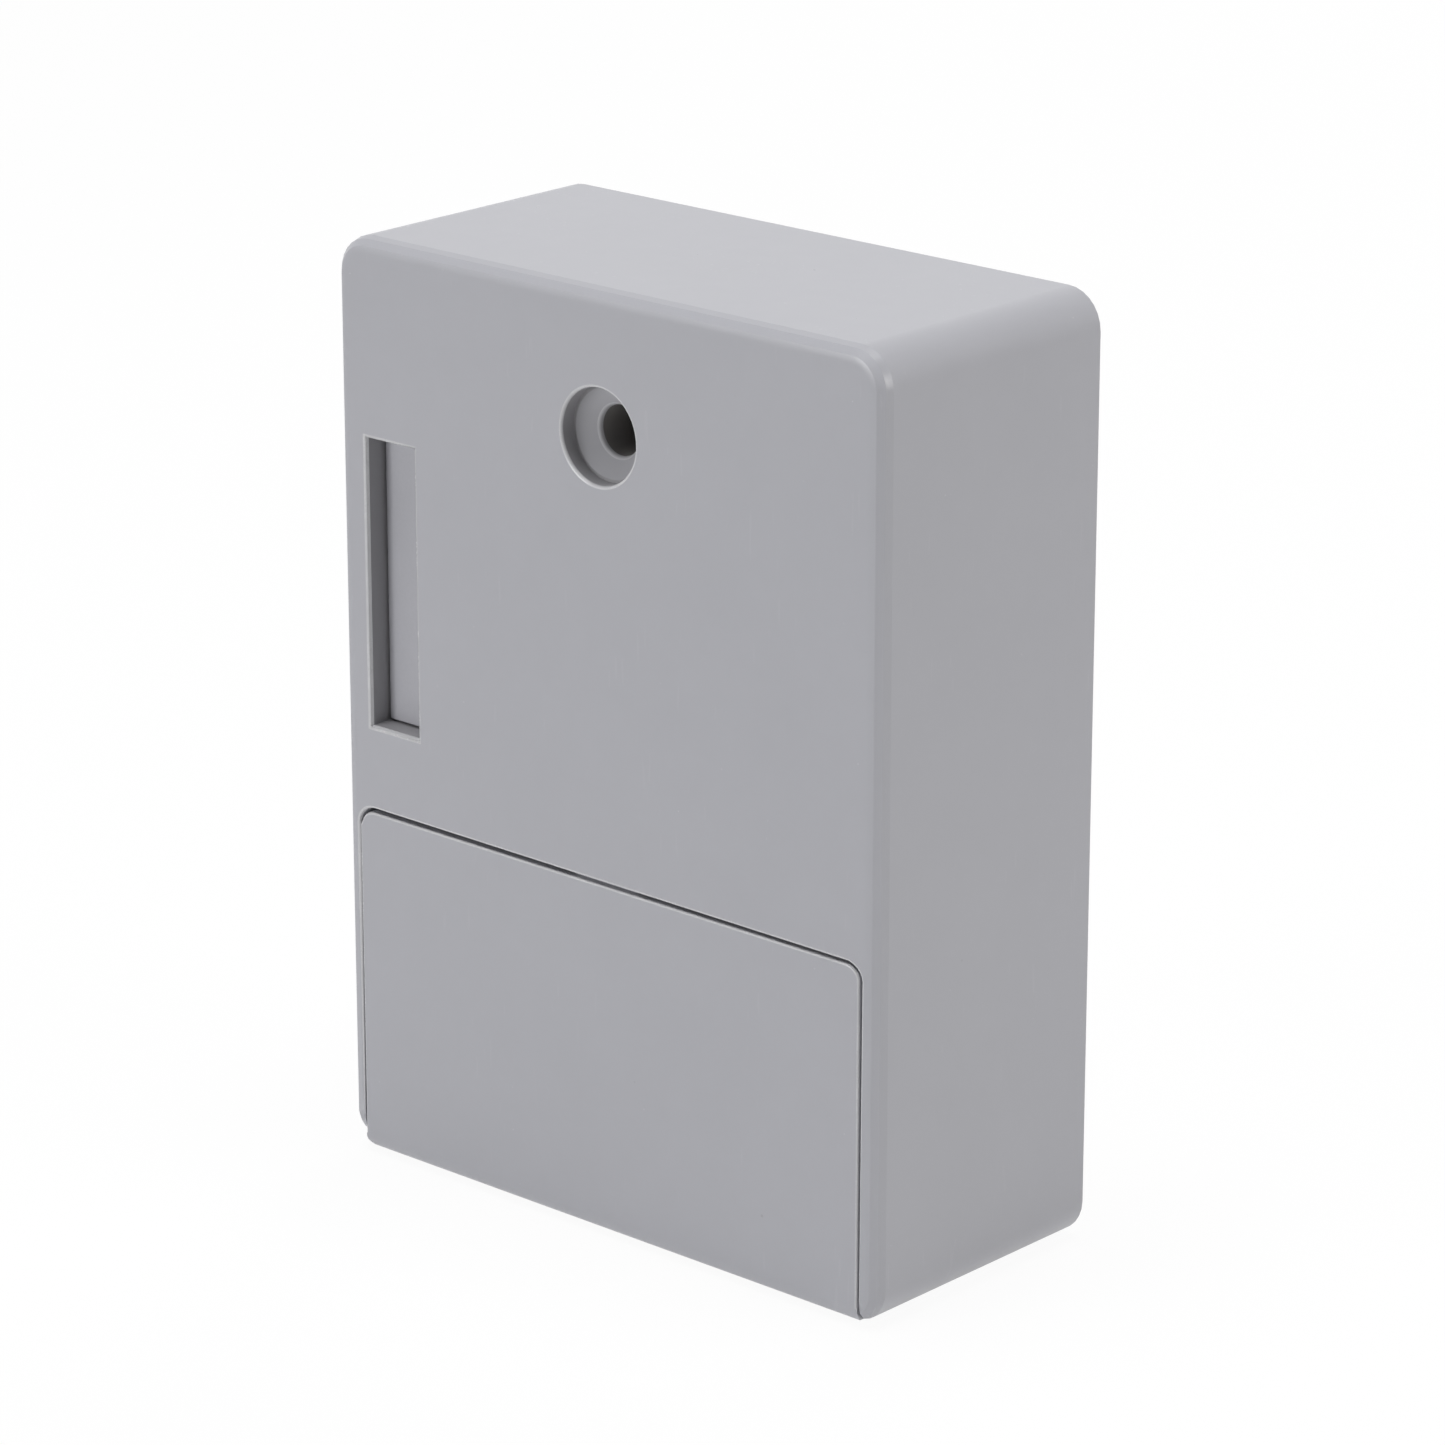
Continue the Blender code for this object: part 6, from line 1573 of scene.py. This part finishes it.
@dataclass
class Electronics:
    """The boards, what they carry and the leads."""

    leads: tuple[tuple[str, Slot], ...] = (
        ("battery_lead_red", Slot.RED),
        ("motor_lead", Slot.RED),
        ("battery_lead_black", Slot.LEAD_BLACK),
        ("antenna_lead", Slot.LEAD_BLACK),
        ("hook_switch_lead", Slot.LEAD_BLACK),
    )
    windings: int = 6
    winding_pitch: float = 0.00048
    winding_wire: float = 0.00022
    winding_corner: float = 0.0022
    winding_steps: int = 6
    legs_a_side: int = 8
    leg_pitch: float = 0.0008
    leg_blocks: tuple[tuple[str, Point, Point], ...] = (
        ("Shoulder", (-0.0001, 0.0006, -0.00018), (0.00045, 0.00076, 0.00018)),
        ("Drop", (0.00035, 0.00012, -0.00018), (0.0005, 0.00068, 0.00018)),
        ("Foot", (0.0004, 0.00002, -0.00018), (0.001, 0.00018, 0.00018)),
    )
    chip_round: float = 0.00015
    dimple_radius: float = 0.0004
    dimple_depth: float = 0.00015
    dimple_inset: float = 3
    dimple_height: float = 0.001
    # Each point's way in from the wall, and its height above the foot or depth below the head.
    capacitor_foot: Profile = (
        (0.0002, 0), (0, 0.0003), (0, 0.0011), (0.00035, 0.0014), (0.00035, 0.0017), (0, 0.002)
    )
    capacitor_head: Profile = ((0, 0.0005), (0.0002, 0.0001), (0.0007, 0), (0.0007, 0.0004))
    score_width: float = 0.0002
    score_reach: float = 0.00028
    top_inset: float = 0.00072
    top_depth: float = 0.00015
    buzzer_foot: Profile = ((0, 0), (0, 0.0008), (0.0003, 0.001))
    buzzer_head: Profile = ((0.0003, 0.0006), (0.0008, 0.00015))
    # Each point's radius and its depth below the top.
    sound_hole: Profile = ((0.0022, 0.00015), (0.002, 0), (0.0011, 0), (0.001, 0.0001), (0.001, 0.002))
    pin_half: float = 0.0003
    pin_tip: float = 0.00012
    pin_length: float = 0.0026
    pin_gap: float = 0.0011
    chip_parts: int = 46
    part_tries: int = 4000
    part_gap: float = 0.0022
    board_margin: Point2 = (0.003, 0.002)  # across and up
    part_size: Point = (0.0008, 0.00055, 0.0004)
    part_body: Point2 = (0.7, 1.2)  # shares of a part's length and height
    part_end: Point = (0.65, 1.25, 1.02)  # shares of its length, height and width
    part_lift: Point2 = (0.00003, 0.00001)  # of the body and the ends, above the board
    seed: int = 7
    turn_seed: int = 0

    def build(self) -> None:
        """Build every piece of the electronics."""
        refine("main_board", "control_board", Slot.BOARD, Body.LOCK)
        refine("antenna_board", "reader_board", Slot.BOARD, Body.LOCK)
        self.coil()
        self.chip()
        self.chip_legs()
        self.capacitor()
        self.buzzer()
        for place in ("battery", "motor", "antenna"):
            refine(f"{place}_connector", f"{place}_socket", Slot.WHITE, Body.LOCK, width=0.00012)
        self.pins()
        self.small_parts()
        for lead, slot in self.leads:
            refine(lead, lead.replace("lead", "wire"), slot, Body.LOCK)

    def coil(self) -> None:
        """Wind the reader's antenna as rounded rectangular turns, one inside the other."""
        low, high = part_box("antenna_coil")
        middle = (low + high) / 2
        growth = Growth("reader_coil")
        width = growth.given("Width", high.x - low.x - self.winding_pitch)
        height = growth.given("Height", high.z - low.z - self.winding_pitch)
        size = {"Width": width, "Height": height}
        turn = growth.signal("GeometryNodeCurvePrimitiveQuadrilateral", None, size)
        points = growth.signal("GeometryNodePoints", None, {"Count": growth.given("Turns", self.windings)})
        inset = growth.signal("GeometryNodeInputIndex") * growth.given("Pitch", self.winding_pitch)
        shrink = {"X": 1 - inset * 2 / width, "Y": 1 - inset * 2 / height, "Z": 1.0}
        scale = growth.signal("ShaderNodeCombineXYZ", None, shrink)
        sockets = {"Points": points, "Instance": turn, "Scale": scale}
        nest = growth.signal("GeometryNodeInstanceOnPoints", None, sockets)
        nest = growth.signal("GeometryNodeRealizeInstances", None, {"Geometry": nest})
        corner = growth.given("Corner Radius", self.winding_corner)
        sockets = {"Curve": nest, "Count": self.winding_steps, "Radius": corner}
        nest = growth.signal("GeometryNodeFilletCurve", {"mode": "POLY"}, sockets)
        wire = growth.tube(nest, growth.given("Wire Radius", self.winding_wire))
        laid = growth.moved(wire, tuple(middle), (QUARTER, 0, 0))
        soften(add_piece(growth.grow(laid, Slot.COPPER), Slot.COPPER, Body.LOCK, ["antenna_coil"]), angle=60)

    def chip(self) -> None:
        """Build the controller with soft edges and the round dimple at its first leg."""
        low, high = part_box("controller_chip")
        bm = clean_copy("controller_chip")
        round_edges(bm, self.chip_round, lambda edge: True)
        inset = self.dimple_radius * self.dimple_inset
        place = along_y(low.x + inset, high.y - self.dimple_depth, high.z - inset)
        dimple = can_profile(self.dimple_radius, self.dimple_height, ((0, 0),), ((0, 0),))
        bm = combined(bm, lathe(dimple, place, 24), Cut.TAKE)
        soften(add_piece(mesh_from(bm, "control_chip"), Slot.BLACK, Body.LOCK, ["controller_chip"]))

    def chip_legs(self) -> None:
        """Set the bent legs along the controller's four sides."""
        low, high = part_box("controller_chip")
        middle = (low + high) / 2
        reach = (high.x - low.x) / 2
        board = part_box("main_board")[1].y
        seeds, turns = [], []
        for quarter in range(4):
            turn = math.radians(90 * quarter)
            for step in range(self.legs_a_side):
                shift = (step - (self.legs_a_side - 1) / 2) * self.leg_pitch
                x = middle.x + math.cos(turn) * reach + math.sin(turn) * shift
                z = middle.z - math.sin(turn) * reach + math.cos(turn) * shift
                seeds.append((x, board, z))
                turns.append(turn)
        growth = Growth("control_chip_legs")
        leg = growth.joined(*[growth.cube(*block_at) for block_at in self.leg_blocks])
        mesh = growth.grow(growth.repeated(leg), Slot.STEEL, seeds, turns)
        soften(add_piece(mesh, Slot.STEEL, Body.LOCK))

    def capacitor(self) -> None:
        """Build the capacitor: its sleeve with a crimp, and the bare top of its can."""
        low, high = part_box("capacitor")
        middle = (low + high) / 2
        wide, tall = (high.x - low.x) / 2, high.y - low.y
        place = along_y(middle.x, low.y, middle.z)
        sleeve = can_profile(wide, tall, self.capacitor_foot, self.capacitor_head)
        mesh = mesh_from(lathe(sleeve, place), "storage_capacitor")
        soften(add_piece(mesh, Slot.BLACK, Body.LOCK, ["capacitor"]), angle=50)
        foot = ((self.top_inset, tall - self.capacitor_head[-1][1]),)
        plate = can_profile(wide, tall, foot, ((self.top_inset, self.top_depth),))
        top = lathe(plate, place)
        half = self.score_width / 2
        for turn in (0, 90):
            groove = block((-wide, -half, tall - self.score_reach), (wide, half, tall))
            groove.transform(place @ Matrix.Rotation(math.radians(turn), 4, "Z"))
            top = combined(top, groove, Cut.TAKE)
        soften(add_piece(mesh_from(top, "storage_capacitor_top"), Slot.ZINC, Body.LOCK, ["capacitor"]))

    def buzzer(self) -> None:
        """Build the buzzer: a round case with a stepped rim and a sound hole in a raised ring."""
        low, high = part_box("buzzer")
        middle = (low + high) / 2
        wide, tall = (high.x - low.x) / 2, high.y - low.y
        hole = tuple((wide - radius, depth) for radius, depth in self.sound_hole)
        profile = can_profile(wide, tall, self.buzzer_foot, self.buzzer_head + hole)
        mesh = mesh_from(lathe(profile, along_y(middle.x, low.y, middle.z)), "beeper")
        soften(add_piece(mesh, Slot.BLACK, Body.LOCK, ["buzzer"]))

    def pins(self) -> None:
        """Set two square pins in each board connector."""
        seeds = []
        for place in ("battery", "motor", "antenna"):
            low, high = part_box(f"{place}_connector")
            middle = (low + high) / 2
            gap = self.pin_gap
            seeds += [(middle.x + side * gap, low.y + gap, middle.z) for side in (-1, 1)]
        growth = Growth("socket_pins")
        sockets = {
            "Vertices": 4,
            "Radius Bottom": growth.given("Pin Half", self.pin_half),
            "Radius Top": growth.given("Pin Tip", self.pin_tip),
            "Depth": growth.given("Pin Length", self.pin_length),
        }
        pin = growth.signal("GeometryNodeMeshCone", None, sockets)
        pin = growth.moved(pin, (0, 0, 0), (-QUARTER, QUARTER / 2, 0))
        mesh = growth.grow(growth.repeated(pin), Slot.BRASS, seeds, [0.0] * len(seeds))
        soften(add_piece(mesh, Slot.BRASS, Body.LOCK))

    def small_parts(self) -> None:
        """Scatter chip resistors and capacitors over the free board, always the same way."""
        low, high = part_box("main_board")
        names = ["controller_chip", "capacitor", "buzzer", "battery_connector", "motor_connector"]
        names += ["antenna_connector", "board_screw_1", "board_screw_2"]
        taken = [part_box(name) for name in names]
        chance = random.Random(self.seed)
        across, up = self.board_margin
        gap = self.part_gap
        seeds: list[Point] = []
        for _ in range(self.part_tries):
            x = round(chance.uniform(low.x + across, high.x - across), 4)
            z = round(chance.uniform(low.z + up, high.z - up), 4)
            near = any(a.x - gap < x < b.x + gap and a.z - gap < z < b.z + gap for a, b in taken)
            close = any(abs(x - px) < gap and abs(z - pz) < gap for px, _, pz in seeds)
            if not near and not close and len(seeds) < self.chip_parts:
                seeds.append((x, high.y, z))
        for (name, slot), blocks in self.part_shapes().items():
            growth = Growth(name)
            shape = growth.joined(*[growth.cube(*block_at) for block_at in blocks])
            sockets = {4: 0, 5: 1, 8: growth.given("Turn Seed", self.turn_seed)}
            chosen = growth.signal("FunctionNodeRandomValue", {"data_type": "INT"}, sockets, 2)
            mesh = growth.grow(growth.repeated(shape, chosen * QUARTER), slot, seeds)
            soften(add_piece(mesh, slot, Body.LOCK))

    def part_shapes(self) -> dict[tuple[str, Slot], list[tuple[str, Point, Point]]]:
        """Return the blocks of a small part: its dark body and its two tinned ends."""
        long, wide, tall = self.part_size
        reach, height = long * self.part_body[0], tall * self.part_body[1]
        rim, top, side = long * self.part_end[0], tall * self.part_end[1], wide * self.part_end[2]
        low_body, low_end = self.part_lift
        body = ("Body", (-reach, low_body, -wide), (reach, height, wide))
        ends = [
            ("Left", (-long, low_end, -side), (-rim, top, side)),
            ("Right", (rim, low_end, -side), (long, top, side)),
        ]
        return {("chip_parts", Slot.BLACK): [body], ("chip_part_ends", Slot.STEEL): ends}


@dataclass
class Fasteners:
    """The cross-recessed screws of the covers and the boards, each kind as one piece."""

    head_radius: float = 0.0022
    head_height: float = 0.0014
    shank_radius: float = 0.00095
    length: float = 0.006
    point: float = 0.001
    thread_turns: float = 9.0
    thread_steps: int = 14
    thread_trim: float = 0.0014
    thread_start: float = 0.0008
    ridge_radius: float = 0.00016
    head_steps: int = 5
    crown: Point2 = (0.55, 0.35)  # shares of the head that are flat and upright
    recess_taper: Point2 = (0.7, 0.9)  # of the recess's foot, along and across
    first_turn: float = 23  # degrees
    turn_step: float = 37  # degrees from one screw to the next
    recess_width: float = 0.00056
    recess_reach: float = 0.0013
    recess_depth: float = 0.0011
    groups: tuple[tuple[str, str, int], ...] = (
        ("rear_cover_screws", "back_cover_screw", 4),
        ("slot_cap_screws", "channel_cap_screw", 2),
        ("drive_cover_screws", "mechanism_screw", 3),
        ("board_screws", "board_screw", 2),
    )

    def build(self) -> None:
        """Turn one screw and repeat it at every place."""
        pattern = self.pattern()
        for name, stem, count in self.groups:
            nodes = [f"{stem}_{number}" for number in range(1, count + 1)]
            seeds = [(centre(node).x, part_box(node)[1].y - self.head_height, centre(node).z) for node in nodes]
            turns = [math.radians(self.first_turn + self.turn_step * number) for number in range(count)]
            growth = Growth(name)
            sockets = {"Object": growth.given("Screw", pattern)}
            blank = growth.signal("GeometryNodeObjectInfo", None, sockets, "Geometry")
            whole = growth.joined(blank, self.thread(growth))
            mesh = growth.grow(growth.repeated(whole), Slot.STEEL, seeds, turns)
            soften(add_piece(mesh, Slot.STEEL, Body.LOCK, nodes), angle=30)
        bpy.data.meshes.remove(pattern.data)

    def thread(self, growth: Growth) -> Signal:
        """Wind the thread round the shank.

        Args:
            growth: The tree that it belongs to.

        Returns:
            The thread.
        """
        height = self.length - self.thread_trim
        radius = growth.given("Shank Radius", self.shank_radius)
        sockets = {
            "Resolution": self.thread_steps,
            "Rotations": growth.given("Thread Turns", self.thread_turns),
            "Start Radius": radius,
            "End Radius": radius,
            "Height": growth.given("Thread Height", height),
        }
        path = growth.signal("GeometryNodeCurveSpiral", None, sockets)
        ridge = growth.tube(path, growth.given("Ridge Radius", self.ridge_radius), 3)
        return growth.moved(ridge, (0, -height - self.thread_start, 0), (-QUARTER, 0, 0))

    def pattern(self) -> bpy.types.Object:
        """Turn the screw that the others repeat, its head's underside at the origin."""
        head, tall = self.head_radius, self.head_height
        shank, length = self.shank_radius, self.length
        profile = [(0, -length), (shank, -length + self.point), (shank, 0), (head, 0)]
        flat, wall = self.crown
        for step in range(self.head_steps + 1):
            turn = math.radians(90 * step / self.head_steps)
            radius = head * (flat + (1 - flat) * math.cos(turn))
            profile.append((radius, tall * (wall + (1 - wall) * math.sin(turn))))
        profile.append((0, tall))
        screw = lathe(profile, Matrix.Identity(4), 32)
        wide, reach, deep = self.recess_width / 2, self.recess_reach, self.recess_depth
        for turn in (0, 90):
            slot = block((-reach, -wide, tall - deep), (reach, wide, tall + deep))
            for vert in slot.verts:
                if vert.co.z < tall:
                    vert.co.x *= self.recess_taper[0]
                    vert.co.y *= self.recess_taper[1]
            slot.transform(Matrix.Rotation(math.radians(turn), 4, "Z"))
            screw = combined(screw, slot, Cut.TAKE)
        screw.transform(Matrix.Rotation(-QUARTER, 4, "X"))
        blank = bpy.data.objects.new("screw_pattern", mesh_from(screw, "screw_pattern"))
        bpy.context.scene.collection.objects.link(blank)
        return blank


@dataclass(frozen=True)
class Softbox:
    """One square lamp that faces the object."""

    name: str
    place: Point
    size: float
    power: float
    in_gloss: bool = True
    colour: Colour = WHITE
    aim: Point = (0, 0, 0.06)

    def hang(self) -> None:
        """Hang the lamp."""
        data = bpy.data.lights.new(self.name, "AREA")
        data.shape = "SQUARE"
        data.size = self.size
        data.energy = self.power
        data.color = self.colour
        lamp = bpy.data.objects.new(self.name, data)
        bpy.context.scene.collection.objects.link(lamp)
        lamp.location = self.place
        lamp.rotation_euler = facing(self.place, self.aim)
        lamp.visible_glossy = self.in_gloss


@dataclass
class Studio:
    """The camera, the floor and the lights."""

    lens: float = 145.28
    eye: Point = (0.44874, -0.49383, 0.28027)
    target: Point = (0.00103, 0.00093, 0.06085)
    film_width: float = 36
    near_clip: float = 0.01  # the nearest distance that is drawn
    world_level: float = 0.02
    world_colour: Colour = (0.97, 0.98, 1.0)
    floor_size: float = 8.0
    floor_level: float = -0.00005
    floor_tone: Colour = (0.87, 0.87, 0.87)
    floor_glow: float = 0.94
    lamps: tuple[Softbox, ...] = (
        Softbox("front_left_softbox", (-0.65, -1.58, 0.42), 0.6, 13.8),
        Softbox("right_softbox", (1.6, 0.35, 0.5), 0.8, 10.9, colour=(1, 0.985, 0.96)),
        Softbox("top_softbox", (-0.1, -0.1, 1.5), 0.7, 14.9),
        Softbox("upper_right_softbox", (0.27, 0.21, 1.42), 0.28, 3.0),
        Softbox("back_softbox", (-0.5, 1.6, 0.55), 0.8, 13.5, in_gloss=False),
    )

    def build(self) -> None:
        """Build the whole set."""
        self.camera()
        self.floor()
        self.world()
        for lamp in self.lamps:
            lamp.hang()

    def camera(self) -> None:
        """Place the camera where the photograph was taken from."""
        data = bpy.data.cameras.new("camera")
        data.lens = self.lens
        data.sensor_width = self.film_width
        data.clip_start = self.near_clip
        camera = bpy.data.objects.new("camera", data)
        bpy.context.scene.collection.objects.link(camera)
        camera.location = self.eye
        camera.rotation_euler = facing(self.eye, self.target)
        bpy.context.scene.camera = camera

    def floor(self) -> None:
        """Lay a pale floor that shows nearly white and keeps a soft shadow."""
        half = self.floor_size / 2
        bm = bmesh.new()
        corners = [(-half, -half), (half, -half), (half, half), (-half, half)]
        bm.faces.new([bm.verts.new((x, y, self.floor_level)) for x, y in corners])
        mesh = mesh_from(bm, "floor")
        floor = bpy.data.objects.new("floor", mesh)
        bpy.context.scene.collection.objects.link(floor)
        recipe = Recipe("pale_floor")
        mesh.materials.append(recipe.dress(Base_Color=self.floor_tone, Roughness=0.9))
        glow = recipe.signal("ShaderNodeEmission", None, {"Color": (*WHITE, 1), "Strength": 1.0})
        sockets = {0: recipe.seen() * self.floor_glow, 1: recipe.surface(), 2: glow}
        recipe.feed(recipe.end.inputs["Surface"], recipe.signal("ShaderNodeMixShader", None, sockets))

    def world(self) -> None:
        """Surround the set with soft light, and show white where nothing stands."""
        world = bpy.data.worlds.new("studio")
        bpy.context.scene.world = world
        world.use_nodes = True
        tree = NodeTree(world.node_tree)
        light, white = (
            tree.signal("ShaderNodeBackground", None, {"Color": (*colour, 1), "Strength": strength})
            for colour, strength in ((self.world_colour, self.world_level), (WHITE, 1.0))
        )
        mix = tree.signal("ShaderNodeMixShader", None, {0: tree.seen(), 1: light, 2: white})
        tree.node("ShaderNodeOutputWorld", None, {"Surface": mix})


def main() -> None:
    """Build the lock and its set."""
    logging.basicConfig(level=logging.INFO, format="%(name)s %(message)s")
    bpy.context.scene.view_settings.view_transform = "Standard"
    for part in (Case(), BatteryBay(), HookLatch(), Drive(), Electronics(), Fasteners(), Studio()):
        part.build()
        log.info("built %s", type(part).__name__)


if __name__ == "__main__":
    main()
